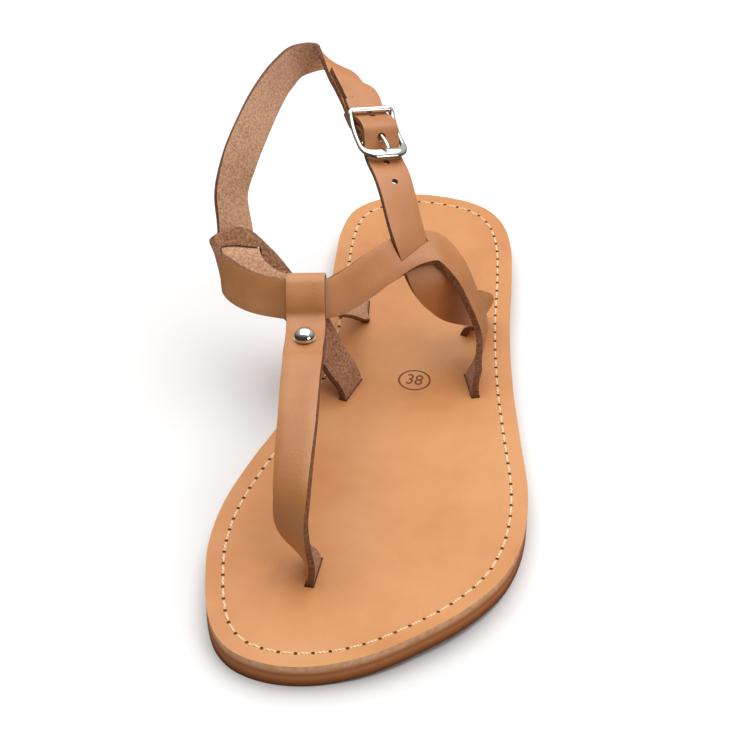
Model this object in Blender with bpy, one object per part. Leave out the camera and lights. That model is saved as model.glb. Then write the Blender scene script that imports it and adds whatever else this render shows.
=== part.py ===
"""Toe post sandal for a left foot: sole of two leather layers, toe and instep straps, buckled ankle strap.

Metres, +Z up. Toe at -Y, heel at +Y, big toe side (medial) at -X. The origin is on the floor, under the sole.
Tables and sizes are in millimetres and are scaled when the vertices are made.
"""
import math
from collections import namedtuple

import bmesh
import bpy
from mathutils import Vector

MM = 0.001

# Sole
SOLE_LENGTH = 250.0
OUTSOLE_THICKNESS = 4.7
FOOTBED_THICKNESS = 3.0
SEAT_GAP = 0.3
EDGE_ROUND = 0.6
TOE_SPRING = 3.0
SPRING_START = 80.0
SPRING_RUN = 17.5
SPRING_TURN = math.radians(50.0)
SOLE_STATIONS = 44
SOLE_ACROSS = 4
EDGE_SAMPLES = 12

# Straps
STRAP_WIDTH = 12.5
STRAP_THICKNESS = 2.2
ANKLE_THICKNESS = 1.8
FOLD_THICKNESS = 1.0
STRAP_CHAMFER = 0.4
STRAP_STEPS = 3
SLOT_CLEARANCE = 0.4
SLIT_CLEARANCE = 0.35
SLIT_REACH = 5
TAIL_GAP = 0.4
PUNCH_RADIUS = 1.1
DRILL_SIDES = 16

# Buckle: its middle, the way up along the strap, and the way across it as a turn in plan and a tilt, degrees
BUCKLE_AT = (-11, 58.5, 74.5)
BUCKLE_ALONG = (-0.456, 0.813, 0.357)
BUCKLE_TURN = 35
BUCKLE_TILT = -8
BUCKLE_WIDTH = 17.0
BUCKLE_REACH = 9.4
BAR_RADIUS = 0.9
LOWER_BAR_WIDTH = 2.0
LOWER_CORNER = 4.2
UPPER_CORNER = 1.4
CORNER_STEPS = 4
CENTRE_BAR_RADIUS = 0.8
CENTRE_BAR_SINK = 2.0
TUBE_SIDES = 10
PRONG_RADIUS = 0.75
PRONG_HOOK = CENTRE_BAR_RADIUS + SEAT_GAP + PRONG_RADIUS
PRONG_HOOK_FROM = -130
PRONG_HOOK_TO = 85
PRONG_STEPS = 8
PRONG_SLOT = (2.5, 7.0, 5.0)

# Rivets
RIVET_SIDES = 20
DOME_STEPS = 5
DOME_TOP_ANGLE = 84
TOE_CAP_RADIUS = 3.4
TOE_CAP_HEIGHT = 2.6
TOE_SHANK_RADIUS = 1.4
TOE_BACK_RADIUS = 3.0
TOE_BACK_HEIGHT = 0.6
ANKLE_RIVET_UP = 11.0
ANKLE_RIVET_OFF = -7.5
ANKLE_CAP_RADIUS = 2.6
ANKLE_CAP_HEIGHT = 0.8
ANKLE_SHANK_RADIUS = 1.1
ANKLE_SHANK_HEIGHT = 3.0

SHARP_ANGLE = math.radians(35)
LEATHER_TAN = (0.60, 0.34, 0.17, 1.0)
LEATHER_STRAP = (0.48, 0.25, 0.12, 1.0)
LEATHER_SOLE = (0.42, 0.22, 0.10, 1.0)
NICKEL = (0.78, 0.77, 0.74, 1.0)

FOOTBED_BOTTOM = OUTSOLE_THICKNESS + SEAT_GAP
FOOTBED_TOP = FOOTBED_BOTTOM + FOOTBED_THICKNESS
STRAP_FOOT = FOOTBED_BOTTOM

# Edges of the sole: place along the length, x of the medial edge, x of the lateral edge
SoleRow = namedtuple("SoleRow", "y medial lateral")
SOLE_ROWS = [
    SoleRow(-125, -6, -6),
    SoleRow(-122, -19, 9.5),
    SoleRow(-117, -25, 20),
    SoleRow(-108, -30, 31.5),
    SoleRow(-95, -34, 44),
    SoleRow(-80, -37, 52.5),
    SoleRow(-60, -37, 56.5),
    SoleRow(-40, -33.5, 55.5),
    SoleRow(-15, -27.5, 50),
    SoleRow(10, -24.5, 44.3),
    SoleRow(40, -26, 39),
    SoleRow(75, -30, 35),
    SoleRow(95, -31.5, 32),
    SoleRow(110, -29, 27),
    SoleRow(118, -22, 21),
    SoleRow(122.5, -14, 13.5),
    SoleRow(125, -3, -3),
]

# Slots of the footbed: middle, turn of the long side from +X in plan, thickness of the strap in it
SlotRow = namedtuple("SlotRow", "x y turn thick")
TOE_SLOT = SlotRow(-3, -86, -90, STRAP_THICKNESS)
INSTEP_MEDIAL_SLOT = SlotRow(-9.5, 2, 77, STRAP_THICKNESS)
INSTEP_LATERAL_SLOT = SlotRow(30, 11.5, 110, STRAP_THICKNESS)
ANKLE_SLOT = SlotRow(-13, 46, 99, ANKLE_THICKNESS)
HOLED_SLOT = SlotRow(24, 45, 81, ANKLE_THICKNESS)
SLOTS = [TOE_SLOT, INSTEP_MEDIAL_SLOT, INSTEP_LATERAL_SLOT, ANKLE_SLOT, HOLED_SLOT]

# Strap rows: middle of the strap, then the direction across it as a turn in plan and a tilt up, degrees
StrapRow = namedtuple("StrapRow", "x y z turn tilt thick", defaults=(STRAP_THICKNESS,))
AnkleRow = namedtuple("AnkleRow", "x y z turn tilt thick", defaults=(ANKLE_THICKNESS,))


def in_slot(slot):
    """The two rows of a strap that stands in its slot."""
    return [StrapRow(slot.x, slot.y, z, slot.turn, 0, slot.thick) for z in (STRAP_FOOT, FOOTBED_TOP)]


# Toe strap, across from its medial edge to its lateral edge; it is two layers thick near the rivet
TOE_ROWS = in_slot(TOE_SLOT) + [
    StrapRow(-3.3, -86.2, 10.5, -86, 5),
    StrapRow(-7, -87.5, 19, -52, 33),
    StrapRow(-9.5, -86, 27, -25, 30),
    StrapRow(-10, -82, 34, -16, 22),
    StrapRow(-11, -74.5, 39, -13, 18),
    StrapRow(-13, -60, 43, -10, 14),
    StrapRow(-16, -41.5, 45.5, -5, 9),
    StrapRow(-17.3, -32.5, 45.6, 0, 6),
    StrapRow(-17.8, -30, 44.6, 2, 5, 4.2),
    StrapRow(-18.6, -23.6, 44.9, 5, 3, 4.5),
    StrapRow(-19.7, -17.3, 44.7, 8, 2, 4.8),
]
TOE_RIVET_ROW = 11
# Loop of the toe strap: distance up the instep strap from its middle line, thickness of the closed loop
LoopRow = namedtuple("LoopRow", "up thick")
LOOP_ROWS = [LoopRow(-6.2, 6.4), LoopRow(5, 6.8), LoopRow(7, 5.6), LoopRow(8, 3)]

# Instep strap from the medial to the lateral front slot, across from its front edge to its back edge
INSTEP_ROWS = in_slot(INSTEP_MEDIAL_SLOT) + [
    StrapRow(-9.9, 2.2, 10.2, 78, 2),
    StrapRow(-15.5, 4.5, 17.5, 84, 9),
    StrapRow(-24.5, 11, 27, 92, 24),
    StrapRow(-36.2, 16.9, 35.4, 99, 40),
    StrapRow(-45.2, 21.4, 42.4, 101, 48),
    StrapRow(-52, 23.5, 46, 104, 50),
    StrapRow(-56.5, 19, 45.3, 112, 50),
    StrapRow(-54.7, 11.6, 44.8, 124, 46),
    StrapRow(-49.8, 4.6, 45.6, 114, 48),
    StrapRow(-41.5, -2.5, 47, 101, 56),
    StrapRow(-30, -7.5, 49.3, 97, 60),
    StrapRow(-21.5, -8, 50, 97, 60),
    StrapRow(-14.5, -5.5, 50.2, 104, 55),
    StrapRow(-8, 2.5, 50.5, 115, 46),
    StrapRow(-1, 14.5, 51, 120, 37),
    StrapRow(7, 25, 51, 116, 24),
    StrapRow(14, 29.5, 49.5, 100, 13),
    StrapRow(20.5, 28.5, 44, 91, 2),
    StrapRow(26, 26, 35.5, 90, -5),
    StrapRow(31, 23.5, 24, 92, -4),
    StrapRow(30.8, 16.8, 15, 101, 0),
    StrapRow(30.1, 11.8, 9.8, 109, 1),
] + in_slot(INSTEP_LATERAL_SLOT)[::-1]
INSTEP_LOOP_ROW = 13

# Ankle strap from the medial rear slot to above the buckle, across from its front edge to its back edge
ANKLE_ROWS = in_slot(ANKLE_SLOT) + [
    AnkleRow(-13.5, 45.9, 10, 98, 0),
    AnkleRow(-15.5, 41.5, 14, 106, 8),
    AnkleRow(-18.5, 31.5, 22, 126, 20),
    AnkleRow(-21.5, 19, 31.5, 122, 26),
    AnkleRow(-30.2, 12.2, 36.4, 95, 28),
    AnkleRow(-42.4, 13.1, 40.2, 53, 20),
    AnkleRow(-47.9, 16.4, 43.4, 38, 7),
    AnkleRow(-50.3, 20.2, 45.4, 30, -4),
    AnkleRow(-51.8, 22.9, 45.2, 26, -10),
    AnkleRow(-53, 25.5, 45.2, 29, -12),
    AnkleRow(-54.7, 30.2, 49.2, 42, -14),
    AnkleRow(-57.4, 37.5, 57.5, 48, -15),
    AnkleRow(-56.3, 46, 65.5, 36, -18),
    AnkleRow(-54.2, 57.5, 72, 28, -34),
    AnkleRow(-52.3, 70, 76, 28, -48),
    AnkleRow(-49.3, 82, 79, 36, -60),
    AnkleRow(-45.5, 91, 80, 48, -66),
    AnkleRow(-39, 94.5, 80, 60, -62),
    AnkleRow(-32.5, 90.5, 79.5, 62, -34),
    AnkleRow(-26, 80.5, 78.7, 55, -14),
]
ANKLE_SLIT_ROW = 10
ANKLE_CORNER_ROW = 19

# Holed strap from the lateral rear slot to below the buckle, across from its front edge to its back edge
HOLED_ROWS = in_slot(HOLED_SLOT) + [
    AnkleRow(24.5, 44.9, 10, 81, 0),
    AnkleRow(28.6, 43.6, 13.8, 79, 4),
    AnkleRow(29.2, 40.8, 18.2, 72, 14),
    AnkleRow(25.6, 36, 22.2, 60, 36),
    AnkleRow(20, 30.4, 27, 44, 38),
    AnkleRow(16.6, 25.8, 33.2, 36, 31),
    AnkleRow(14, 21.8, 39.6, 36, 18),
    AnkleRow(7, 24.5, 51, 50, -7),
    AnkleRow(2.8, 31.5, 57.5, 40, -11),
    AnkleRow(-1.2, 39.5, 63.5, 37, -11),
]
HOLED_SLIT_ROW = 9

# Places on the buckle: distance up from the centre bar, height off the frame's plane, strap thickness
BuckleRow = namedtuple("BuckleRow", "up off thick", defaults=(ANKLE_THICKNESS,))
# The ankle strap's end: down to the centre bar, round it, and back up behind itself
ANKLE_BUCKLE_ROWS = [
    BuckleRow(20, -5.7),
    BuckleRow(14, -5.2),
    BuckleRow(8, -4.5),
    BuckleRow(4, -2.6, 1.4),
    BuckleRow(0.8, -0.6, FOLD_THICKNESS),
    BuckleRow(-0.6, -0.5, FOLD_THICKNESS),
    BuckleRow(-1.55, -1.4, FOLD_THICKNESS),
    BuckleRow(-1.55, -2.6, FOLD_THICKNESS),
    BuckleRow(-0.6, -3.5, FOLD_THICKNESS),
    BuckleRow(0.8, -3.6, FOLD_THICKNESS),
    BuckleRow(4, -4.9, FOLD_THICKNESS),
    BuckleRow(8, -6.3, FOLD_THICKNESS),
    BuckleRow(14, -7.0, FOLD_THICKNESS),
]
# The holed strap's way under the lower bar, over the centre bar and under the upper bar
HOLED_BUCKLE_ROWS = [
    BuckleRow(-16, -2.6),
    BuckleRow(-11.4, -3.3),
    BuckleRow(-7.6, -3.3),
    BuckleRow(-3.4, -0.7),
    BuckleRow(0, 1.6),
    BuckleRow(3.6, 0.9),
    BuckleRow(9.4, -2.6),
]
# The holed strap's tail on the ankle strap: distance up from the centre bar, width
TailRow = namedtuple("TailRow", "up width")
TAIL_ROWS = [
    TailRow(13, STRAP_WIDTH),
    TailRow(18.5, STRAP_WIDTH),
    TailRow(21.5, 0.75 * STRAP_WIDTH),
    TailRow(25.5, 0.2 * STRAP_WIDTH),
]
# Punched holes of the holed strap, counted up from the one that the prong is in
PRONG_HOLE_UP = -2.6
PUNCH_PITCH = 8.9
PUNCH_COUNTS = [1, -1, -2]
# The prong's middle line past the hook: through the strap and down on the lower bar
PRONG_ROWS = [BuckleRow(-2.6, 0.7), BuckleRow(-5.4, 1.8), BuckleRow(-8, 2.2), BuckleRow(-9.6, 2.1)]


# Common makers


def material(name, colour, roughness, metallic):
    made = bpy.data.materials.new(name)
    made.use_nodes = True
    shader = made.node_tree.nodes["Principled BSDF"]
    shader.inputs["Base Color"].default_value = colour
    shader.inputs["Roughness"].default_value = roughness
    shader.inputs["Metallic"].default_value = metallic
    return made


def mesh_object(name, mesh_data, finish=None):
    """Object from a bmesh in millimetres, triangulated, with its faces pointing out."""
    bmesh.ops.triangulate(mesh_data, faces=mesh_data.faces)
    bmesh.ops.recalc_face_normals(mesh_data, faces=mesh_data.faces)
    bmesh.ops.scale(mesh_data, vec=(MM, MM, MM), verts=mesh_data.verts)
    mesh = bpy.data.meshes.new(name)
    mesh_data.to_mesh(mesh)
    mesh_data.free()
    made = bpy.data.objects.new(name, mesh)
    bpy.context.scene.collection.objects.link(made)
    mesh.shade_smooth()
    mesh.set_sharp_from_angle(angle=SHARP_ANGLE)
    if finish:
        mesh.materials.append(finish)
    return made


def combine(target, guide, operation):
    """Boolean of a target with a guide that is itself left out."""
    guide.hide_render = True
    guide.display_type = "WIRE"
    step = target.modifiers.new(guide.name, "BOOLEAN")
    step.operation = operation
    step.object = guide


def direction(turn, tilt):
    turn = math.radians(turn)
    tilt = math.radians(tilt)
    return Vector((math.cos(tilt) * math.cos(turn), math.cos(tilt) * math.sin(turn), math.sin(tilt)))


def smooth_through(values, knots, steps):
    """Smooth curve through the values at uneven knots, with the given steps to each span."""
    last = len(values) - 1
    slopes = [(values[1] - values[0]) / (knots[1] - knots[0])]
    for i in range(1, last):
        before = knots[i] - knots[i - 1]
        after = knots[i + 1] - knots[i]
        rise_before = (values[i] - values[i - 1]) * (after / before)
        rise_after = (values[i + 1] - values[i]) * (before / after)
        slopes.append((rise_before + rise_after) / (before + after))
    slopes.append((values[last] - values[last - 1]) / (knots[last] - knots[last - 1]))
    curve = []
    for i in range(last):
        span = knots[i + 1] - knots[i]
        for k in range(steps):
            t = k / steps
            start = values[i] * (2 * t**3 - 3 * t**2 + 1) + slopes[i] * (span * (t**3 - 2 * t**2 + t))
            end = values[i + 1] * (3 * t**2 - 2 * t**3) + slopes[i + 1] * (span * (t**3 - t**2))
            curve.append(start + end)
    curve.append(values[last])
    return curve


def value_at(places, values, place):
    """Value of a sampled curve at a place, straight between its samples."""
    for i in range(len(places) - 1):
        if places[i] <= place <= places[i + 1]:
            part = (place - places[i]) / (places[i + 1] - places[i])
            return values[i] + (values[i + 1] - values[i]) * part
    return values[-1]


def bridge_rings(mesh_data, rings, closed):
    """Side faces between rings of vertices, and end caps where the chain is open."""
    count = len(rings[0])
    pairs = list(zip(rings, rings[1:]))
    if closed:
        pairs.append((rings[-1], rings[0]))
    for lower, upper in pairs:
        for i in range(count):
            j = (i + 1) % count
            mesh_data.faces.new((lower[i], lower[j], upper[j], upper[i]))
    if not closed:
        mesh_data.faces.new(rings[0])
        mesh_data.faces.new(rings[-1])


def block(name, size, place):
    """Box whose corners are put in place by a function of (x, y, z)."""
    mesh_data = bmesh.new()
    bmesh.ops.create_cube(mesh_data, size=1)
    for vert in mesh_data.verts:
        vert.co = place(vert.co.x * size[0], vert.co.y * size[1], vert.co.z * size[2])
    return mesh_object(name, mesh_data)


def drill(name, middle, axis, radius, length):
    """Round cutter along an axis."""
    mesh_data = bmesh.new()
    bmesh.ops.create_cone(
        mesh_data, cap_ends=True, segments=DRILL_SIDES, radius1=radius, radius2=radius, depth=length
    )
    turn = axis.to_track_quat("Z", "Y").to_matrix()
    for vert in mesh_data.verts:
        vert.co = middle + turn @ vert.co
    return mesh_object(name, mesh_data)


# Sole


def rise(x, y):
    """Toe spring: the sole lifts off the floor past a line across the toes, turned to the lateral side."""
    reach = -y * math.cos(SPRING_TURN) + x * math.sin(SPRING_TURN)
    return TOE_SPRING * max(0.0, (reach - SPRING_START) / SPRING_RUN) ** 2


def sole_outline():
    """Points round the sole, up its lateral side and back down its medial side, denser at the ends."""
    half = SOLE_LENGTH / 2
    knots = [math.acos(-row.y / half) for row in SOLE_ROWS]
    places = smooth_through(knots, knots, EDGE_SAMPLES)
    medial = smooth_through([float(row.medial) for row in SOLE_ROWS], knots, EDGE_SAMPLES)
    lateral = smooth_through([float(row.lateral) for row in SOLE_ROWS], knots, EDGE_SAMPLES)
    angles = [math.pi * i / SOLE_STATIONS for i in range(SOLE_STATIONS + 1)]
    outline = [Vector((value_at(places, lateral, a), -half * math.cos(a))) for a in angles]
    outline += [Vector((value_at(places, medial, a), -half * math.cos(a))) for a in angles[-2:0:-1]]
    return outline


def inset_ring(points, inset):
    """Closed outline moved inwards."""
    moved = []
    for i, point in enumerate(points):
        along = points[(i + 1) % len(points)] - points[i - 1]
        inward = Vector((-along.y, along.x)).normalized()
        moved.append(point + inward * inset)
    return moved


def sole_layer(name, levels, finish):
    """Layer of the sole from levels of (height, inset), lowest first, with a grid on its two faces."""
    outline = sole_outline()
    count = len(outline)
    mesh_data = bmesh.new()
    rings = []
    for height, inset in levels:
        ring = inset_ring(outline, inset)
        rings.append([mesh_data.verts.new((p.x, p.y, height + rise(p.x, p.y))) for p in ring])
    for lower, upper in zip(rings, rings[1:]):
        for i in range(count):
            j = (i + 1) % count
            mesh_data.faces.new((lower[i], lower[j], upper[j], upper[i]))
    for ring, (height, _) in ((rings[0], levels[0]), (rings[-1], levels[-1])):
        rows = [[ring[0]] * (SOLE_ACROSS + 1)]
        for i in range(1, SOLE_STATIONS):
            start, end = ring[i], ring[count - i]
            row = [start]
            for k in range(1, SOLE_ACROSS):
                place = start.co.lerp(end.co, k / SOLE_ACROSS)
                row.append(mesh_data.verts.new((place.x, place.y, height + rise(place.x, place.y))))
            rows.append(row + [end])
        rows.append([ring[SOLE_STATIONS]] * (SOLE_ACROSS + 1))
        for lower, upper in zip(rows, rows[1:]):
            for k in range(SOLE_ACROSS):
                corners = dict.fromkeys((lower[k], lower[k + 1], upper[k + 1], upper[k]))
                mesh_data.faces.new(list(corners))
    return mesh_object(name, mesh_data, finish)


def slot_cutter(slot):
    """Upright block with the strap's section and its clearance."""
    long_side = direction(slot.turn, 0)
    short_side = Vector((-long_side.y, long_side.x, 0))
    middle = Vector((slot.x, slot.y, FOOTBED_BOTTOM))
    size = (STRAP_WIDTH + 2 * SLOT_CLEARANCE, slot.thick + 2 * SLOT_CLEARANCE, 4 * FOOTBED_THICKNESS)
    return block("slot", size, lambda x, y, z: middle + long_side * x + short_side * y + Vector((0, 0, z)))


def make_sole():
    soft = EDGE_ROUND / 2
    outsole_levels = [
        (0, EDGE_ROUND),
        (EDGE_ROUND, 0),
        (OUTSOLE_THICKNESS - soft, 0),
        (OUTSOLE_THICKNESS, soft),
    ]
    footbed_levels = [
        (FOOTBED_BOTTOM, soft),
        (FOOTBED_BOTTOM + soft, 0),
        (FOOTBED_TOP - EDGE_ROUND, 0),
        (FOOTBED_TOP, EDGE_ROUND),
    ]
    sole_layer("outsole", outsole_levels, material("outsole_leather", LEATHER_SOLE, 0.55, 0.0))
    footbed = sole_layer("footbed", footbed_levels, material("footbed_leather", LEATHER_TAN, 0.5, 0.0))
    for slot in SLOTS:
        combine(footbed, slot_cutter(slot), "DIFFERENCE")


# Frame of the buckle: across the strap, up along it, and out of its grain side

BUCKLE_UP = Vector(BUCKLE_ALONG).normalized()
BUCKLE_LEAN = direction(BUCKLE_TURN, BUCKLE_TILT)
BUCKLE_ACROSS = (BUCKLE_LEAN - BUCKLE_UP * BUCKLE_LEAN.dot(BUCKLE_UP)).normalized()
BUCKLE_OUT = BUCKLE_ACROSS.cross(BUCKLE_UP)


def on_buckle(across, up, off):
    return Vector(BUCKLE_AT) + BUCKLE_ACROSS * across + BUCKLE_UP * up + BUCKLE_OUT * off


def height_up(point):
    """Distance of a point up the strap from the centre bar."""
    return (point - Vector(BUCKLE_AT)).dot(BUCKLE_UP)


# Straps

Station = namedtuple("Station", "middle along across face width thick")
# A strap's rows before they are smoothed: points, directions across, widths and thicknesses
Course = namedtuple("Course", "points acrosses widths thicks")


def course_of(rows):
    return Course(
        [Vector((row.x, row.y, row.z)) for row in rows],
        [direction(row.turn, row.tilt) for row in rows],
        [STRAP_WIDTH] * len(rows),
        [row.thick for row in rows],
    )


def buckle_course(rows):
    return Course(
        [on_buckle(0, row.up, row.off) for row in rows],
        [BUCKLE_ACROSS] * len(rows),
        [STRAP_WIDTH] * len(rows),
        [row.thick for row in rows],
    )


def stations_of(*courses):
    """Stations along a strap's courses, with a square frame at each."""
    points, acrosses, widths, thicks = (sum(column, []) for column in zip(*courses))
    knots = [0.0]
    for a, b in zip(points, points[1:]):
        knots.append(knots[-1] + (b - a).length)
    middles = smooth_through(points, knots, STRAP_STEPS)
    leans = smooth_through(acrosses, knots, STRAP_STEPS)
    stations = []
    for i, middle in enumerate(middles):
        span = min(i // STRAP_STEPS, len(points) - 2)
        part = i / STRAP_STEPS - span
        along = (middles[min(i + 1, len(middles) - 1)] - middles[max(i - 1, 0)]).normalized()
        across = (leans[i] - along * leans[i].dot(along)).normalized()
        width = widths[span] + (widths[span + 1] - widths[span]) * part
        thick = thicks[span] + (thicks[span + 1] - thicks[span]) * part
        stations.append(Station(middle, along, across, across.cross(along), width, thick))
    return stations


def toe_loop_course(instep):
    """End of the toe strap: the closed loop round the instep strap."""
    crossing = instep[INSTEP_LOOP_ROW * STRAP_STEPS]
    return Course(
        [crossing.middle + crossing.across * row.up for row in LOOP_ROWS],
        [crossing.along] * len(LOOP_ROWS),
        [STRAP_WIDTH] * len(LOOP_ROWS),
        [row.thick for row in LOOP_ROWS],
    )


def tail_course(ankle):
    """End of the holed strap: its tail, lying on the ankle strap and turning with it."""
    limb = ankle[ANKLE_CORNER_ROW * STRAP_STEPS:(len(ANKLE_ROWS) + 2) * STRAP_STEPS]
    carriers = [station_up(limb, row.up) for row in TAIL_ROWS]
    sides = [(STRAP_WIDTH - row.width) / 2 for row in TAIL_ROWS]
    return Course(
        [under.middle - under.face * (ANKLE_THICKNESS + TAIL_GAP) - under.across * side
         for under, side in zip(carriers, sides)],
        [under.across for under in carriers],
        [row.width for row in TAIL_ROWS],
        [ANKLE_THICKNESS] * len(TAIL_ROWS),
    )


def station_up(stations, up):
    """Station of a strap at a distance up from the centre bar, between two of the stations given."""
    for a, b in zip(stations, stations[1:]):
        low, high = sorted((height_up(a.middle), height_up(b.middle)))
        if low <= up <= high:
            part = (up - height_up(a.middle)) / (height_up(b.middle) - height_up(a.middle))
            along = a.along.lerp(b.along, part).normalized()
            across = a.across.lerp(b.across, part).normalized()
            middle = a.middle.lerp(b.middle, part)
            return Station(middle, along, across, across.cross(along), a.width, a.thick)
    raise ValueError("no station of the strap is that far up")


def strap_object(name, stations, finish=None, clearance=0.0):
    """Closed strap with chamfered edges along its stations."""
    mesh_data = bmesh.new()
    rings = []
    for station in stations:
        half_width = station.width / 2 + clearance
        half_thick = station.thick / 2 + clearance
        cut = min(STRAP_CHAMFER, half_width / 2, half_thick / 2)
        ring = []
        for u, v in ((1, 1), (-1, 1), (-1, -1), (1, -1)):
            flat = (u * (half_width - cut), v * half_thick)
            side = (u * half_width, v * (half_thick - cut))
            for a, b in ((side, flat) if u * v > 0 else (flat, side)):
                ring.append(mesh_data.verts.new(station.middle + station.across * a + station.face * b))
        rings.append(ring)
    bridge_rings(mesh_data, rings, closed=False)
    return mesh_object(name, mesh_data, finish)


def make_upper(instep, toe, ankle, holed):
    """Instep strap with the toe strap joined on, and the slits that the ankle straps run through."""
    upper = strap_object("upper", instep, material("upper_leather", LEATHER_STRAP, 0.5, 0.0))
    combine(upper, strap_object("toe_strap", toe), "UNION")
    slits = (("medial_slit", ankle, ANKLE_SLIT_ROW), ("lateral_slit", holed, HOLED_SLIT_ROW))
    for name, stations, row in slits:
        near = stations[row * STRAP_STEPS - SLIT_REACH:row * STRAP_STEPS + SLIT_REACH + 1]
        combine(upper, strap_object(name, near, clearance=SLIT_CLEARANCE), "DIFFERENCE")
    at = toe[TOE_RIVET_ROW * STRAP_STEPS]
    hole = drill("toe_rivet_hole", at.middle, at.face, TOE_SHANK_RADIUS + SEAT_GAP, 2 * at.thick)
    combine(upper, hole, "DIFFERENCE")


def make_ankle_strap(ankle):
    """Strap with its end folded round the centre bar, opened for the prong and drilled for the rivet."""
    strap = strap_object("ankle_strap", ankle, material("ankle_strap_leather", LEATHER_STRAP, 0.55, 0.0))
    opening = block("prong_slot", PRONG_SLOT, lambda x, y, z: on_buckle(x, y, z - CENTRE_BAR_SINK))
    combine(strap, opening, "DIFFERENCE")
    middle = on_buckle(0, ANKLE_RIVET_UP, ANKLE_RIVET_OFF)
    radius = ANKLE_SHANK_RADIUS + SEAT_GAP
    hole = drill("ankle_rivet_hole", middle, BUCKLE_OUT, radius, 4 * ANKLE_SHANK_HEIGHT)
    combine(strap, hole, "DIFFERENCE")


def make_holed_strap(holed):
    """Strap with its row of punched holes; the prong stands in one of them."""
    strap = strap_object("ankle_strap_holed", holed, material("holed_strap_leather", LEATHER_STRAP, 0.5, 0.0))
    for count in PUNCH_COUNTS:
        at = station_up(holed, PRONG_HOLE_UP + PUNCH_PITCH * count)
        combine(strap, drill("punch", at.middle, at.face, PUNCH_RADIUS, 4 * ANKLE_THICKNESS), "DIFFERENCE")
    path = prong_path()[PRONG_STEPS - 2:]
    radius = PRONG_RADIUS + SLIT_CLEARANCE
    combine(strap, tube("prong_hole", path, BUCKLE_ACROSS, [(radius, radius)] * len(path)), "DIFFERENCE")


# Metal pieces


def tube(name, points, side, radii, finish=None, closed=False):
    """Tube of an oval section along points; radii are (along the side vector, square to it)."""
    mesh_data = bmesh.new()
    rings = []
    count = len(points)
    for i, point in enumerate(points):
        if closed:
            along = points[(i + 1) % count] - points[i - 1]
        else:
            along = points[min(i + 1, count - 1)] - points[max(i - 1, 0)]
        along.normalize()
        first = (side - along * side.dot(along)).normalized()
        second = along.cross(first)
        ring = []
        for k in range(TUBE_SIDES):
            angle = 2 * math.pi * k / TUBE_SIDES
            offset = first * (radii[i][0] * math.cos(angle)) + second * (radii[i][1] * math.sin(angle))
            ring.append(mesh_data.verts.new(point + offset))
        rings.append(ring)
    bridge_rings(mesh_data, rings, closed)
    return mesh_object(name, mesh_data, finish)


def frame_outline():
    """Round-cornered frame in the buckle's plane, as (across, up), from the lower lateral corner round."""
    half = BUCKLE_WIDTH / 2 - BAR_RADIUS
    side_places = [-BUCKLE_REACH / 3, 0.0, BUCKLE_REACH / 3]
    corners = [
        (half, -BUCKLE_REACH, LOWER_CORNER, -90, [(half, up) for up in side_places]),
        (half, BUCKLE_REACH, UPPER_CORNER, 0, []),
        (-half, BUCKLE_REACH, UPPER_CORNER, 90, [(-half, -up) for up in side_places]),
        (-half, -BUCKLE_REACH, LOWER_CORNER, 180, []),
    ]
    outline = []
    for x, y, radius, start, side in corners:
        for k in range(CORNER_STEPS + 1):
            angle = math.radians(start + 90 * k / CORNER_STEPS)
            across = x - math.copysign(radius, x) + radius * math.cos(angle)
            up = y - math.copysign(radius, y) + radius * math.sin(angle)
            outline.append((across, up))
        outline += side
    return outline


def prong_path():
    """Middle line of the prong, from behind the centre bar to its tip."""
    points = []
    for k in range(PRONG_STEPS + 1):
        angle = math.radians(PRONG_HOOK_FROM + (PRONG_HOOK_TO - PRONG_HOOK_FROM) * k / PRONG_STEPS)
        up = PRONG_HOOK * math.cos(angle)
        points.append(on_buckle(0, up, PRONG_HOOK * math.sin(angle) - CENTRE_BAR_SINK))
    return points + [on_buckle(0, row.up, row.off) for row in PRONG_ROWS]


def make_buckle(nickel):
    """Arched frame with its sunk centre bar and heavier lower bar, and the prong."""
    points = []
    radii = []
    for across, up in frame_outline():
        sink = CENTRE_BAR_SINK * (1 - (up / BUCKLE_REACH) ** 2)
        points.append(on_buckle(across, up, -sink))
        heavy = max(0.0, -up / BUCKLE_REACH) ** 4
        radii.append((BAR_RADIUS, BAR_RADIUS + (LOWER_BAR_WIDTH - BAR_RADIUS) * heavy))
    frame = tube("buckle_frame", points, BUCKLE_OUT, radii, nickel, closed=True)
    half = BUCKLE_WIDTH / 2 - BAR_RADIUS
    ends = [on_buckle(-half, 0, -CENTRE_BAR_SINK), on_buckle(half, 0, -CENTRE_BAR_SINK)]
    centre_bar = tube("centre_bar", ends, BUCKLE_OUT, [(CENTRE_BAR_RADIUS, CENTRE_BAR_RADIUS)] * 2)
    combine(frame, centre_bar, "UNION")
    path = prong_path()
    tube("buckle_prong", path, BUCKLE_ACROSS, [(PRONG_RADIUS, PRONG_RADIUS)] * len(path), nickel)


def turned(name, profile, foot, axis, finish):
    """Round piece turned from (radius, height) pairs, lowest first, on an axis."""
    mesh_data = bmesh.new()
    turn = axis.to_track_quat("Z", "Y").to_matrix()
    rings = []
    for radius, height in profile:
        ring = []
        for k in range(RIVET_SIDES):
            angle = 2 * math.pi * k / RIVET_SIDES
            place = Vector((radius * math.cos(angle), radius * math.sin(angle), height))
            ring.append(mesh_data.verts.new(foot + turn @ place))
        rings.append(ring)
    bridge_rings(mesh_data, rings, closed=False)
    return mesh_object(name, mesh_data, finish)


def dome(radius, base, height):
    """Profile of a domed cap with a small flat on its top."""
    profile = []
    for k in range(DOME_STEPS + 1):
        angle = math.radians(DOME_TOP_ANGLE) * k / DOME_STEPS
        profile.append((radius * math.cos(angle), base + height * math.sin(angle)))
    return profile


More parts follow.
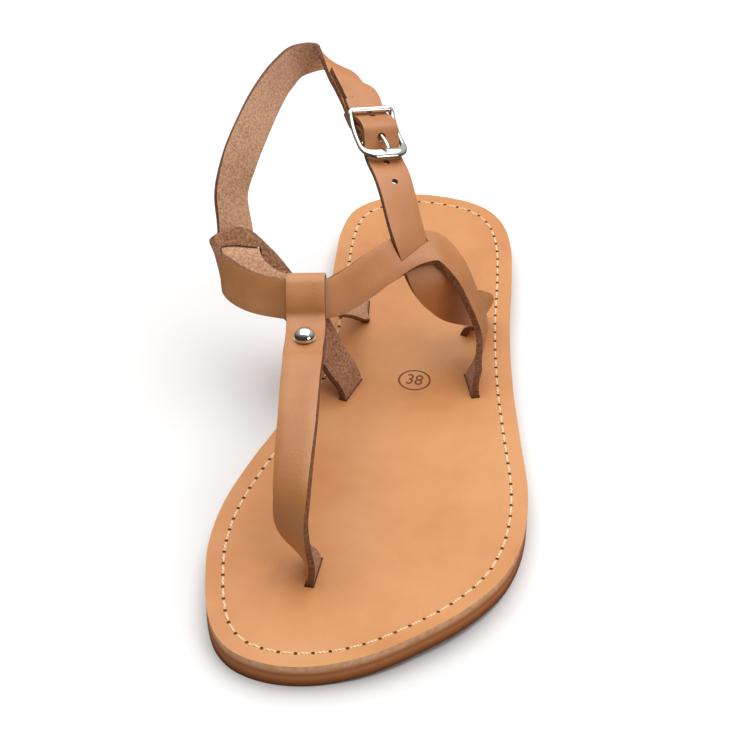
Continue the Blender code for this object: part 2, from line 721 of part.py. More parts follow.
def make_rivets(toe, nickel):
    at = toe[TOE_RIVET_ROW * STRAP_STEPS]
    seat = at.thick / 2 + SEAT_GAP
    profile = [(TOE_BACK_RADIUS, -seat - TOE_BACK_HEIGHT), (TOE_BACK_RADIUS, -seat)]
    profile += [(TOE_SHANK_RADIUS, -seat), (TOE_SHANK_RADIUS, seat)]
    profile += dome(TOE_CAP_RADIUS, seat, TOE_CAP_HEIGHT)
    turned("toe_rivet", profile, at.middle, at.face, nickel)
    profile = [(ANKLE_CAP_RADIUS, -ANKLE_CAP_HEIGHT), (ANKLE_CAP_RADIUS, 0)]
    profile += [(ANKLE_SHANK_RADIUS, 0), (ANKLE_SHANK_RADIUS, ANKLE_SHANK_HEIGHT)]
    turned("ankle_rivet", profile, on_buckle(0, ANKLE_RIVET_UP, ANKLE_RIVET_OFF), BUCKLE_OUT, nickel)


# Assembly


def main():
    for old in list(bpy.data.objects):
        bpy.data.objects.remove(old, do_unlink=True)
    nickel = material("nickel", NICKEL, 0.25, 1.0)
    instep = stations_of(course_of(INSTEP_ROWS))
    toe = stations_of(course_of(TOE_ROWS), toe_loop_course(instep))
    ankle = stations_of(course_of(ANKLE_ROWS), buckle_course(ANKLE_BUCKLE_ROWS))
    holed = stations_of(course_of(HOLED_ROWS), buckle_course(HOLED_BUCKLE_ROWS), tail_course(ankle))
    make_sole()
    make_upper(instep, toe, ankle, holed)
    make_ankle_strap(ankle)
    make_holed_strap(holed)
    make_buckle(nickel)
    make_rivets(toe, nickel)


main()
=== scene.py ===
"""Looks of the toe post sandal: stitched leather sole, grain and suede straps, nickel buckle and rivets.

Tables and sizes are in millimetres in the part's own frame: toe at -Y, heel at +Y, big toe side at -X,
floor at z 0. The stage and the scales of the materials are in metres.
"""

import math
from collections import namedtuple

import bmesh
import bpy
from mathutils import Matrix, Vector


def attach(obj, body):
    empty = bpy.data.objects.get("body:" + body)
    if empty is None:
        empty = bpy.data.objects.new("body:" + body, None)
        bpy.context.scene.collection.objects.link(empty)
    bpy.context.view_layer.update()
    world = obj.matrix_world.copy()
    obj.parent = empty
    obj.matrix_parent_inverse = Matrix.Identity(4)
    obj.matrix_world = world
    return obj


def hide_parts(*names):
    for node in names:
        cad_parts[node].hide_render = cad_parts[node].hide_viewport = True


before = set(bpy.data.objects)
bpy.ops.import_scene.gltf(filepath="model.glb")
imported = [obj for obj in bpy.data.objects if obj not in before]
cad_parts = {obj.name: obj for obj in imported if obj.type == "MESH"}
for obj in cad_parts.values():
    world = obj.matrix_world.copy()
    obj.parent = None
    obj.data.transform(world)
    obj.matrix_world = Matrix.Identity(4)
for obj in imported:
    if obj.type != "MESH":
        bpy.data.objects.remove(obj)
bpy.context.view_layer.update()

MM = 0.001

# Sole
SOLE_LENGTH = 250.0
OUTSOLE_THICKNESS = 4.7
SEAT_GAP = 0.3
FOOTBED_BOTTOM = OUTSOLE_THICKNESS + SEAT_GAP
FOOTBED_THICKNESS = 3.0
FOOTBED_TOP = FOOTBED_BOTTOM + FOOTBED_THICKNESS
BLANK_RADIUS = 100.0
EDGE_ROUND = 0.6
TOP_ROUND = 1.1
EDGE_SEGMENTS = 3
TOP_FACING = 0.5
SAME_HEIGHT = 0.01
OUTLINE_STATIONS = 100
EDGE_SAMPLES = 12
TOE_SPRING = 3.0
SPRING_START = 80.0
SPRING_RUN = 17.5
SPRING_TURN = math.radians(50.0)
SPRING_PITCH = 2.5
SPRING_LINES = 8
SLOT_CUT_HEIGHT = 10.0
# Attribute of the sole's layers: height up the wall, 0 at the floor and 1 at the top
WALL_HEIGHT = "wall_height"

# Stitching round the footbed
STITCH_INSET = 5.2
STITCH_PITCH = 5.0
STITCH_LENGTH = 4.1
STITCH_WIDTH = 0.85
STITCH_HEIGHT = 0.7
STITCH_SINK = 0.08
STITCH_SEGMENTS = 10
STITCH_RINGS = 7
AWL_RADIUS = 0.6
AWL_DEPTH = 0.7
AWL_SIDES = 10

# Size number in a ring, printed on the footbed
MARK_AT = Vector((10.6, 10.9, FOOTBED_TOP))
MARK_TEXT = "38"
MARK_SIZE = 7.6
MARK_NARROW = 0.78
MARK_RING = 5.2
MARK_LINE = 0.34
MARK_BOLD = 0.05
MARK_HEIGHT = 0.03
MARK_RING_STEPS = 72
MARK_RING_SIDES = 8

# Straps
STRAP_WIDTH = 12.5
STRAP_THICKNESS = 2.2
ANKLE_THICKNESS = 1.8
FOLD_THICKNESS = 1.0
STRAP_STEPS = 6
STRAP_COLUMNS = 4
EDGE_SOFT = 0.35
SOFT_SEGMENTS = 2
SOFT_FROM_ANGLE = 50
SMOOTH_ANGLE = 40
SLOT_CLEARANCE = 0.4
SLIT_CLEARANCE = 0.3
OPEN_SLIT_CLEARANCE = 0.6
SLIT_REACH = 9
TAIL_GAP = 0.4
TAIL_BUCKLE_ROWS = 2
PUNCH_RADIUS = 1.1
PRONG_HOLE_RADIUS = 1.5
PUNCH_SIDES = 20
PUNCH_LENGTH = 4 * ANKLE_THICKNESS

# Outline of the sole: place along the length, x of the medial edge, x of the lateral edge
SoleRow = namedtuple("SoleRow", "y medial lateral")
SOLE_ROWS = [
    SoleRow(-125, -6, -6),
    SoleRow(-122, -19, 9.5),
    SoleRow(-117, -25, 20),
    SoleRow(-108, -30, 31.5),
    SoleRow(-95, -34, 44),
    SoleRow(-80, -37, 52.5),
    SoleRow(-60, -37, 56.5),
    SoleRow(-40, -33.5, 55.5),
    SoleRow(-15, -27.5, 50),
    SoleRow(10, -24.5, 44.3),
    SoleRow(40, -26, 39),
    SoleRow(75, -30, 35),
    SoleRow(95, -31.5, 32),
    SoleRow(110, -29, 27),
    SoleRow(118, -22, 21),
    SoleRow(122.5, -14, 13.5),
    SoleRow(125, -3, -3),
]

# Slots of the footbed: middle, turn of the long side from +X in plan, thickness of the strap in it
SlotRow = namedtuple("SlotRow", "x y turn thick")
TOE_SLOT = SlotRow(-3, -86, -90, STRAP_THICKNESS)
INSTEP_MEDIAL_SLOT = SlotRow(-9.5, 2, 77, STRAP_THICKNESS)
INSTEP_LATERAL_SLOT = SlotRow(30, 11.5, 110, STRAP_THICKNESS)
ANKLE_SLOT = SlotRow(-13, 46, 99, ANKLE_THICKNESS)
HOLED_SLOT = SlotRow(24, 45, 81, ANKLE_THICKNESS)
SLOTS = [TOE_SLOT, INSTEP_MEDIAL_SLOT, INSTEP_LATERAL_SLOT, ANKLE_SLOT, HOLED_SLOT]

# Strap rows: middle of the strap, then the direction across it as a turn in plan and a tilt up, degrees,
# and how far the row is lifted off that middle, square to the strap, to the side that faces up
StrapRow = namedtuple("StrapRow", "x y z turn tilt lift", defaults=(0.0,))


def in_slot(slot):
    """The two rows of a strap that stands in its slot."""
    return [StrapRow(slot.x, slot.y, z, slot.turn, 0) for z in (FOOTBED_BOTTOM, FOOTBED_TOP)]


# Toe strap, across from its medial edge to its lateral edge.
# Near the rivet it lies on its own turned-back end.
TOE_ROWS = in_slot(TOE_SLOT) + [
    StrapRow(-3.3, -86.2, 10.5, -86, 5),
    StrapRow(-7, -87.5, 19, -52, 33),
    StrapRow(-9.5, -86, 27, -25, 30),
    StrapRow(-10, -82, 34, -16, 22),
    StrapRow(-11, -74.5, 39, -13, 18),
    StrapRow(-13, -60, 43, -10, 14),
    StrapRow(-16, -41.5, 45.5, -5, 9),
    StrapRow(-17.3, -32.5, 45.6, 0, 6, 0.5),
    StrapRow(-17.8, -30, 44.6, 2, 5, 1.15),
    StrapRow(-18.6, -23.6, 44.9, 5, 3, 1.15),
    StrapRow(-19.7, -17.3, 44.7, 8, 2, 1.5),
]
TOE_RIVET_ROW = 11
# The toe strap's turn round the instep strap: distance up that strap from its middle line,
# height off the middle of its thickness
LoopRow = namedtuple("LoopRow", "up off")
LOOP_ROWS = [
    LoopRow(-4.0, 3.55),
    LoopRow(-1.3, 3.75),
    LoopRow(1.5, 3.5),
    LoopRow(4.2, 2.85),
    LoopRow(6.2, 2.1),
    LoopRow(7.3, 1.1),
    LoopRow(7.7, 0),
    LoopRow(6.9, -1.75),
    LoopRow(4.5, -2.35),
    LoopRow(-6.2, -2.3),
]
# The turned-back end below the loop, under the strap and through to past the rivet
TOE_END_ROWS = [
    StrapRow(-19.7, -17.3, 44.7, 8, 2, -1.3),
    StrapRow(-18.6, -23.6, 44.9, 5, 3, -1.15),
    StrapRow(-17.8, -29.5, 44.7, 2, 5, -1.15),
]

# Instep strap from the medial to the lateral front slot, across from its front edge to its back edge
INSTEP_ROWS = in_slot(INSTEP_MEDIAL_SLOT) + [
    StrapRow(-9.9, 2.2, 10.2, 78, 2),
    StrapRow(-15.5, 4.5, 17.5, 84, 9),
    StrapRow(-24.5, 11, 27, 92, 24),
    StrapRow(-36.2, 16.9, 35.4, 99, 40),
    StrapRow(-45.2, 21.4, 42.4, 101, 48),
    StrapRow(-52, 23.5, 46, 104, 50),
    StrapRow(-56.5, 19, 45.3, 112, 50),
    StrapRow(-54.7, 11.6, 44.8, 124, 46),
    StrapRow(-49.8, 4.6, 45.6, 114, 48),
    StrapRow(-41.5, -2.5, 47, 101, 56),
    StrapRow(-30, -7.5, 49.3, 97, 60),
    StrapRow(-21.5, -8, 50, 97, 60),
    StrapRow(-14.5, -5.5, 50.2, 104, 55),
    StrapRow(-8, 2.5, 50.5, 115, 46),
    StrapRow(-1, 14.5, 51, 120, 37),
    StrapRow(7, 25, 51, 116, 24),
    StrapRow(14, 29.5, 49.5, 100, 13),
    StrapRow(20.5, 28.5, 44, 91, 2),
    StrapRow(26, 26, 35.5, 90, -5),
    StrapRow(31, 22.8, 23.8, 91, -4),
    StrapRow(30.9, 15.2, 14.8, 94, 0),
    StrapRow(30.2, 12.3, 11, 102, 1),
] + in_slot(INSTEP_LATERAL_SLOT)[::-1]
INSTEP_LOOP_ROW = 13

# Ankle strap from the medial rear slot to above the buckle, across from its front edge to its back edge
ANKLE_ROWS = in_slot(ANKLE_SLOT) + [
    StrapRow(-13.5, 45.9, 10, 98, 0),
    StrapRow(-15.5, 41.5, 14, 106, 8),
    StrapRow(-18.5, 31.5, 22, 126, 20),
    StrapRow(-21.5, 19, 31.5, 122, 26),
    StrapRow(-30.2, 12.2, 36.4, 95, 28),
    StrapRow(-42.4, 13.1, 40.2, 53, 20),
    StrapRow(-47.9, 16.4, 43.4, 38, 7),
    StrapRow(-50.3, 20.2, 45.4, 30, -4),
    StrapRow(-51.8, 22.9, 45.2, 26, -10),
    StrapRow(-53, 25.5, 45.2, 29, -12),
    StrapRow(-54.7, 30.2, 49.2, 42, -14),
    StrapRow(-57.4, 37.5, 57.5, 48, -15),
    StrapRow(-56.3, 46, 65.5, 36, -18),
    StrapRow(-54.2, 57.5, 72, 28, -34),
    StrapRow(-52.3, 70, 76, 28, -48),
    StrapRow(-49.3, 82, 79, 36, -60),
    StrapRow(-45.5, 91, 80, 48, -66),
    StrapRow(-39, 94.5, 80, 60, -62),
    StrapRow(-32.5, 90.5, 79.5, 62, -34),
    StrapRow(-26, 80.5, 78.7, 55, -14),
]
ANKLE_SLIT_ROW = 10
ANKLE_CORNER_ROW = 19

# Holed strap from the lateral rear slot to below the buckle, across from its front edge to its back edge
HOLED_ROWS = in_slot(HOLED_SLOT) + [
    StrapRow(24.5, 44.9, 10, 81, 0),
    StrapRow(28.6, 43.6, 13.8, 79, 4),
    StrapRow(29.2, 40.8, 18.2, 72, 14),
    StrapRow(25.6, 36, 22.2, 60, 36),
    StrapRow(20, 30.4, 27, 44, 38),
    StrapRow(16.6, 25.8, 33.2, 36, 31),
    StrapRow(14, 21.8, 39.6, 36, 18),
    StrapRow(7, 24.5, 51, 50, -7),
    StrapRow(2.8, 31.5, 57.5, 40, -11),
    StrapRow(-1.2, 39.5, 63.5, 37, -11),
]
HOLED_SLIT_ROW = 9

# Buckle: its middle, the way up along the strap, the way across it as a turn in plan and a tilt in degrees,
# and its sizes
BUCKLE_AT = Vector((-11, 58.5, 74.5))
BUCKLE_ALONG = Vector((-0.456, 0.813, 0.357))
BUCKLE_TURN = 35
BUCKLE_TILT = -8
BUCKLE_WIDTH = 17.0
BUCKLE_REACH = 9.4
BAR_RADIUS = 0.9
LOWER_BAR_WIDTH = 2.0
UPPER_BAR_RADIUS = 1.15
LOWER_CORNER = 4.2
UPPER_CORNER = 1.4
CORNER_STEPS = 7
# Points on the frame's sides between its corners, as shares of its reach
SIDE_SHARES = [-1 / 3, 0.0, 1 / 3, 0.7]
# How suddenly the frame swells to its lower and its upper bar
LOWER_SWELL = 4
UPPER_SWELL = 8
CENTRE_BAR_RADIUS = 0.8
CENTRE_BAR_SINK = 2.0
PRONG_RADIUS = 0.75
PRONG_TIP_RADIUS = 0.5
PRONG_HOOK = CENTRE_BAR_RADIUS + SEAT_GAP + PRONG_RADIUS
PRONG_HOOK_FROM = -130
PRONG_HOOK_TO = 85
PRONG_STEPS = 8
ROD_SIDES = 12
SEAM_REACH = 0.005
METAL_SMOOTH_ANGLE = 50

# Rivets
RIVET_SIDES = 32
DOME_STEPS = 10
DOME_TOP_ANGLE = 86
TOE_CAP_RADIUS = 3.4
TOE_CAP_HEIGHT = 3.0
TOE_RIM_RADIUS = 3.5
TOE_RIM_HEIGHT = 0.15
TOE_SHANK_RADIUS = 1.4
TOE_BACK_RADIUS = 3.0
TOE_BACK_HEIGHT = 0.6
ANKLE_RIVET_UP = 11.0
ANKLE_RIVET_OFF = -7.5
ANKLE_CAP_RADIUS = 2.6
ANKLE_CAP_HEIGHT = 0.8
ANKLE_SHANK_RADIUS = 1.1
ANKLE_SHANK_HEIGHT = 3.0

# Places on the buckle: distance up from the centre bar, height off the frame's plane,
# share of the strap's thickness
BuckleRow = namedtuple("BuckleRow", "up off share", defaults=(1.0,))
SKIVED = FOLD_THICKNESS / ANKLE_THICKNESS
# The ankle strap's end: down to the centre bar, round it, and back up behind itself
ANKLE_BUCKLE_ROWS = [
    BuckleRow(20, -5.7),
    BuckleRow(14, -5.2),
    BuckleRow(8, -4.5),
    BuckleRow(4, -2.6, 0.8),
    BuckleRow(0.8, -0.6, SKIVED),
    BuckleRow(-0.6, -0.5, SKIVED),
    BuckleRow(-1.55, -1.4, SKIVED),
    BuckleRow(-1.55, -2.6, SKIVED),
    BuckleRow(-0.6, -3.5, SKIVED),
    BuckleRow(0.8, -3.6, SKIVED),
    BuckleRow(4, -4.9, SKIVED),
    BuckleRow(8, -6.3, SKIVED),
    BuckleRow(14, -7.0, SKIVED),
]
# The holed strap's way under the lower bar, over the centre bar and under the upper bar
HOLED_BUCKLE_ROWS = [
    BuckleRow(-16, -2.6),
    BuckleRow(-11.4, -3.3),
    BuckleRow(-7.6, -3.3),
    BuckleRow(-3.4, -0.7),
    BuckleRow(0, 1.6),
    BuckleRow(3.6, 0.9),
    BuckleRow(9.4, -2.6),
]
# The holed strap's tail on the ankle strap: distance up from the centre bar, width
TailRow = namedtuple("TailRow", "up width")
TAIL_ROWS = [
    TailRow(13, STRAP_WIDTH),
    TailRow(18.5, STRAP_WIDTH),
    TailRow(21.5, 0.78 * STRAP_WIDTH),
    TailRow(26, 0.42 * STRAP_WIDTH),
    TailRow(30, 0.1 * STRAP_WIDTH),
]
# The prong from its hook through the strap and down onto the lower bar
PRONG_ROWS = [BuckleRow(-2.6, 0.7), BuckleRow(-5.4, 1.8), BuckleRow(-8, 2.2), BuckleRow(-9.6, 2.1)]
# Punched holes of the holed strap, counted up from the one that the prong is in
PRONG_HOLE_UP = PRONG_ROWS[0].up
PUNCH_PITCH = 8.9
PUNCH_COUNTS = [1, 0, -1, -2]

# Camera: its place and axes, its focal length and the offset of its aim in pixels of the photo,
# and how much the view is enlarged
CAMERA_AT = (0.0919, -0.490, 0.4079)
CAMERA_FORWARD = Vector((-0.1471, 0.7631, -0.6293))
CAMERA_RIGHT = Vector((0.9819, 0.1892, 0))
CAMERA_UP = Vector((-0.1191, 0.6180, 0.7771))
CAMERA_FOCUS = 1600.0
CAMERA_AIM = (-2.0, 33.0)
SENSOR_WIDTH = 36.0
IMAGE_WIDTH = 735.0
ENLARGED = 1.2

# Floor
FLOOR_SIZE = 6.0
FLOOR_COLOUR = (0.88, 0.88, 0.88, 1)
FLOOR_ROUGHNESS = 0.9

# Studio light: the room is bright overhead and behind, dark towards the camera
ROOM_LIGHT = (0.0, 0.6, 0.8)
ROOM_REACH = (0.05, 0.8)
ROOM_STRENGTH = (0.05, 0.62)
# Softboxes: place, point that the light is aimed at, size, power in watts
Softbox = namedtuple("Softbox", "name place aim size power")
SOFTBOXES = [
    Softbox("overhead_softbox", (-0.05, 0.35, 1.0), (-0.05, 0.35, 0), (1.6, 1.4), 15.0),
    Softbox("lateral_softbox", (0.75, -0.5, 0.32), (0, 0, 0.03), (0.5, 0.4), 1.6),
]


# Curves and frames


def direction(turn, tilt):
    turn = math.radians(turn)
    tilt = math.radians(tilt)
    return Vector((math.cos(tilt) * math.cos(turn), math.cos(tilt) * math.sin(turn), math.sin(tilt)))


def smooth_through(values, knots, steps):
    """Smooth curve through the values at uneven knots, with the given steps to each span."""
    last = len(values) - 1
    slopes = [(values[1] - values[0]) / (knots[1] - knots[0])]
    for i in range(1, last):
        before = knots[i] - knots[i - 1]
        after = knots[i + 1] - knots[i]
        rise_before = (values[i] - values[i - 1]) * (after / before)
        rise_after = (values[i + 1] - values[i]) * (before / after)
        slopes.append((rise_before + rise_after) / (before + after))
    slopes.append((values[last] - values[last - 1]) / (knots[last] - knots[last - 1]))
    curve = []
    for i in range(last):
        span = knots[i + 1] - knots[i]
        for k in range(steps):
            t = k / steps
            start = values[i] * (2 * t**3 - 3 * t**2 + 1) + slopes[i] * (span * (t**3 - 2 * t**2 + t))
            end = values[i + 1] * (3 * t**2 - 2 * t**3) + slopes[i + 1] * (span * (t**3 - t**2))
            curve.append(start + end)
    curve.append(values[last])
    return curve


def value_at(places, values, place):
    """Value of a sampled curve at a place, straight between its samples."""
    for i in range(len(places) - 1):
        if places[i] <= place <= places[i + 1]:
            part = (place - places[i]) / (places[i + 1] - places[i])
            return values[i] + (values[i + 1] - values[i]) * part
    return values[-1]


BUCKLE_UP = BUCKLE_ALONG.normalized()
BUCKLE_LEAN = direction(BUCKLE_TURN, BUCKLE_TILT)
BUCKLE_ACROSS = (BUCKLE_LEAN - BUCKLE_UP * BUCKLE_LEAN.dot(BUCKLE_UP)).normalized()
BUCKLE_OUT = BUCKLE_ACROSS.cross(BUCKLE_UP)


def on_buckle(across, up, off):
    return BUCKLE_AT + BUCKLE_ACROSS * across + BUCKLE_UP * up + BUCKLE_OUT * off


def height_up(point):
    """Distance of a point up the strap from the centre bar."""
    return (point - BUCKLE_AT).dot(BUCKLE_UP)


# One station of a strap, and a strap's rows before they are smoothed
Station = namedtuple("Station", "middle along across face width share")
Course = namedtuple("Course", "points acrosses widths shares")


def course_of(rows):
    count = len(rows)
    points = [Vector((row.x, row.y, row.z)) for row in rows]
    acrosses = [direction(row.turn, row.tilt) for row in rows]
    for i, row in enumerate(rows):
        if row.lift:
            along = (points[min(i + 1, count - 1)] - points[max(i - 1, 0)]).normalized()
            if acrosses[i].cross(along).z < 0:
                along.negate()
            points[i] = points[i] + acrosses[i].cross(along).normalized() * row.lift
    return Course(points, acrosses, [STRAP_WIDTH] * count, [1.0] * count)


def buckle_course(rows):
    count = len(rows)
    points = [on_buckle(0, row.up, row.off) for row in rows]
    return Course(points, [BUCKLE_ACROSS] * count, [STRAP_WIDTH] * count, [row.share for row in rows])


def stations_of(*courses):
    """Stations along a strap's courses, with a square frame at each."""
    points, acrosses, widths, shares = (sum(column, []) for column in zip(*courses))
    knots = [0.0]
    for a, b in zip(points, points[1:]):
        knots.append(knots[-1] + (b - a).length)
    middles = smooth_through(points, knots, STRAP_STEPS)
    leans = smooth_through(acrosses, knots, STRAP_STEPS)
    stations = []
    for i, middle in enumerate(middles):
        span = min(i // STRAP_STEPS, len(points) - 2)
        part = i / STRAP_STEPS - span
        along = (middles[min(i + 1, len(middles) - 1)] - middles[max(i - 1, 0)]).normalized()
        across = (leans[i] - along * leans[i].dot(along)).normalized()
        width = widths[span] + (widths[span + 1] - widths[span]) * part
        share = shares[span] + (shares[span + 1] - shares[span]) * part
        stations.append(Station(middle, along, across, across.cross(along), width, share))
    return stations


def toe_loop_course(instep):
    """The toe strap's turn round the instep strap, square to it."""
    crossing = instep[INSTEP_LOOP_ROW * STRAP_STEPS]
    points = [crossing.middle + crossing.across * row.up - crossing.face * row.off for row in LOOP_ROWS]
    count = len(points)
    return Course(points, [crossing.along] * count, [STRAP_WIDTH] * count, [1.0] * count)


def station_up(stations, up):
    """Station of a strap at a distance up from the centre bar, between two of the stations given."""
    for a, b in zip(stations, stations[1:]):
        low, high = sorted((height_up(a.middle), height_up(b.middle)))
        if low <= up <= high:
            part = (up - height_up(a.middle)) / (height_up(b.middle) - height_up(a.middle))
            along = a.along.lerp(b.along, part).normalized()
            across = a.across.lerp(b.across, part).normalized()
            middle = a.middle.lerp(b.middle, part)
            return Station(middle, along, across, across.cross(along), a.width, a.share)
    raise ValueError("no station of the strap is that far up")


def tail_course(ankle):
    """End of the holed strap: its tail, lying on the ankle strap and turning with it."""
    last_row = len(ANKLE_ROWS) + TAIL_BUCKLE_ROWS
    limb = ankle[ANKLE_CORNER_ROW * STRAP_STEPS:last_row * STRAP_STEPS]
    carriers = [station_up(limb, row.up) for row in TAIL_ROWS]
    sides = [under.across * (STRAP_WIDTH - row.width) / 2 for under, row in zip(carriers, TAIL_ROWS)]
    off = ANKLE_THICKNESS + TAIL_GAP
    points = [under.middle - under.face * off - side for under, side in zip(carriers, sides)]
    acrosses = [under.across for under in carriers]
    widths = [row.width for row in TAIL_ROWS]
    return Course(points, acrosses, widths, [1.0] * len(points))


# Materials


def srgb(red, green, blue):
    """Linear colour from 8-bit display values."""
    linear = []
    for value in (red, green, blue):
        share = value / 255
        linear.append(share / 12.92 if share <= 0.04045 else ((share + 0.055) / 1.055) ** 2.4)
    return (*linear, 1.0)


def new_material(name):
    made = bpy.data.materials.new(name)
    made.use_nodes = True
    return made, made.node_tree, made.node_tree.nodes["Principled BSDF"]


def feed(tree, socket, value):
    """Gives an input a plain value or another node's output."""
    if isinstance(value, bpy.types.NodeSocket):
        tree.links.new(value, socket)
    else:
        socket.default_value = value


def set_node(tree, node, **values):
    """Sets a node's inputs and properties by their names."""
    for key, value in values.items():
        title = key.replace("_", " ").title()
        if title in node.inputs:
            feed(tree, node.inputs[title], value)
        else:
            setattr(node, key, value)
    return node


def add_node(tree, kind, **values):
    return set_node(tree, tree.nodes.new(kind), **values)


def object_coords(tree):
    return tree.nodes.new("ShaderNodeTexCoord").outputs["Object"]


def noise(tree, coords, scale, detail=4.0, roughness=0.6):
    made = add_node(
        tree, "ShaderNodeTexNoise", vector=coords, scale=scale, detail=detail, roughness=roughness)
    return made.outputs["Fac"]


def ramp(tree, factor, stops):
    """Colour ramp with (place, colour) stops."""
    made = tree.nodes.new("ShaderNodeValToRGB")
    elements = made.color_ramp.elements
    while len(elements) < len(stops):
        elements.new(0.5)
    for element, (place, colour) in zip(elements, stops):
        element.position = place
        element.color = colour
    tree.links.new(factor, made.inputs["Fac"])
    return made.outputs["Color"]


def spread(tree, value, low, high, reach=(0.0, 1.0)):
    """Value from one reach, 0 to 1 if not given, brought to a range."""
    start, end = reach
    made = add_node(
        tree, "ShaderNodeMapRange", value=value, from_min=start, from_max=end, to_min=low, to_max=high)
    return made.outputs["Result"]


def mixed(tree, factor, first, second, blend="MIX"):
    """Mix of two colours; a factor or colour may be a plain value or a socket."""
    made = add_node(tree, "ShaderNodeMix", data_type="RGBA", blend_type=blend)
    feed(tree, made.inputs["Factor"], factor)
    feed(tree, made.inputs[6], first)
    feed(tree, made.inputs[7], second)
    return made.outputs[2]


def bumped(tree, shader, height, distance, strength, below=None):
    """Bump from a height; below is an earlier bump that it is laid on."""
    made = add_node(tree, "ShaderNodeBump", strength=strength, distance=distance, height=height)
    if below:
        tree.links.new(below, made.inputs["Normal"])
    tree.links.new(made.outputs["Normal"], shader.inputs["Normal"])
    return made.outputs["Normal"]


def grain_leather(name, dark, middle, light, roughness, gloss):
    """Smooth vegetable-tanned grain: soft clouds of colour, fine pores, a low even gloss."""
    made, tree, shader = new_material(name)
    coords = object_coords(tree)
    clouds = noise(tree, coords, scale=28.0, detail=3.0)
    colour = ramp(tree, clouds, [(0.32, dark), (0.5, middle), (0.7, light)])
    specks = noise(tree, coords, scale=900.0, detail=5.0)
    colour = mixed(tree, spread(tree, specks, 0.0, 0.22), colour, dark)
    polish = noise(tree, coords, scale=160.0, detail=3.0)
    polish = spread(tree, polish, roughness - 0.06, roughness + 0.1)
    set_node(tree, shader, base_color=colour, roughness=polish)
    shader.inputs["Specular IOR Level"].default_value = gloss
    pores = add_node(tree, "ShaderNodeTexVoronoi", vector=coords, scale=1500.0)
    first = bumped(tree, shader, pores.outputs["Distance"], distance=0.00012, strength=0.35)
    bumped(tree, shader, noise(tree, coords, scale=120.0), distance=0.0005, strength=0.25, below=first)
    return made


def flesh_leather(name, dark, middle, light):
    """Suede-like flesh side: short fibres, speckled, without gloss."""
    made, tree, shader = new_material(name)
    coords = object_coords(tree)
    fibres = noise(tree, coords, scale=1300.0, detail=5.0, roughness=0.7)
    colour = ramp(tree, fibres, [(0.36, dark), (0.5, middle), (0.66, light)])
    patches = noise(tree, coords, scale=60.0, detail=3.0)
    colour = mixed(tree, spread(tree, patches, 0.0, 0.2), colour, dark)
    set_node(tree, shader, base_color=colour, roughness=0.92, sheen_weight=0.1, sheen_roughness=0.6)
    first = bumped(tree, shader, fibres, distance=0.0004, strength=0.5)
    tufts = noise(tree, coords, scale=300.0, detail=3.0)
    bumped(tree, shader, tufts, distance=0.0004, strength=0.4, below=first)
    return made


def edge_leather(name, dark, middle, light, roughness):
    """Cut edge: fibres that run level along it."""
    made, tree, shader = new_material(name)
    level = add_node(tree, "ShaderNodeMapping", vector=object_coords(tree), scale=(1.0, 1.0, 2.0))
    streaks = noise(tree, level.outputs["Vector"], scale=900.0, detail=5.0, roughness=0.7)
    colour = ramp(tree, streaks, [(0.34, dark), (0.52, middle), (0.7, light)])
    polish = spread(tree, streaks, roughness - 0.08, roughness + 0.12)
    set_node(tree, shader, base_color=colour, roughness=polish)
    bumped(tree, shader, streaks, distance=0.0004, strength=0.5)
    return made


def burnished_edge(name, low, middle, seam, high, worn):
    """Waxed edge of the sole: darker towards the floor as painted shade, a darker seam of the layers, and
    above it a dry worn band that also carries a painted highlight along the top edge.
    """
    made, tree, shader = new_material(name)
    coords = object_coords(tree)
    height = add_node(tree, "ShaderNodeAttribute", attribute_name=WALL_HEIGHT).outputs["Fac"]
    # The lowest stop is painted contact shade: the wall darkens towards the floor.
    colour = ramp(tree, height, [(0.05, low), (0.42, middle), (0.58, seam), (0.8, high)])
    wear = noise(tree, coords, scale=90.0)
    colour = mixed(tree, spread(tree, wear, 0.0, 0.2), colour, low)
    # Light fibrous band below the rounded top edge: real wear with a painted highlight laid on it.
    fray = noise(tree, coords, scale=420.0, detail=5.0, roughness=0.7)
    top_line = spread(tree, height, 0.0, 1.0, (0.6, 0.88))
    fibres = spread(tree, fray, 0.1, 1.0, (0.35, 0.65))
    colour = mixed(tree, mixed(tree, 1.0, top_line, fibres, "MULTIPLY"), colour, worn)
    set_node(tree, shader, base_color=colour, roughness=spread(tree, wear, 0.34, 0.5))
    shader.inputs["Specular IOR Level"].default_value = 0.3
    bumped(tree, shader, noise(tree, coords, scale=700.0), distance=0.0001, strength=0.4)
    return made


def printed_mark(name, colour):
    made, tree, shader = new_material(name)
    worn = noise(tree, object_coords(tree), scale=500.0, detail=3.0)
    faded = mixed(tree, spread(tree, worn, 0.0, 0.3), colour, srgb(150, 90, 50))
    set_node(tree, shader, base_color=faded, roughness=0.7)
    return made


def thread_material(name):
    made, tree, shader = new_material(name)
    wave = add_node(tree, "ShaderNodeTexWave", vector=object_coords(tree), scale=420.0, distortion=1.5,
                    bands_direction="DIAGONAL")
    twist = wave.outputs["Fac"]
    colour = ramp(tree, twist, [(0.0, srgb(214, 176, 124)), (0.6, srgb(244, 218, 174))])
    set_node(tree, shader, base_color=colour, roughness=0.7)
    bumped(tree, shader, twist, distance=0.0002, strength=0.6)
    return made


def nickel_material(name):
    made, tree, shader = new_material(name)
    coords = object_coords(tree)
    smear = spread(tree, noise(tree, coords, scale=350.0, detail=3.0), 0.05, 0.12)
    set_node(tree, shader, base_color=srgb(228, 226, 220), metallic=1.0, roughness=smear)
    bumped(tree, shader, noise(tree, coords, scale=500.0, detail=2.0), distance=0.0001, strength=0.05)
    return made


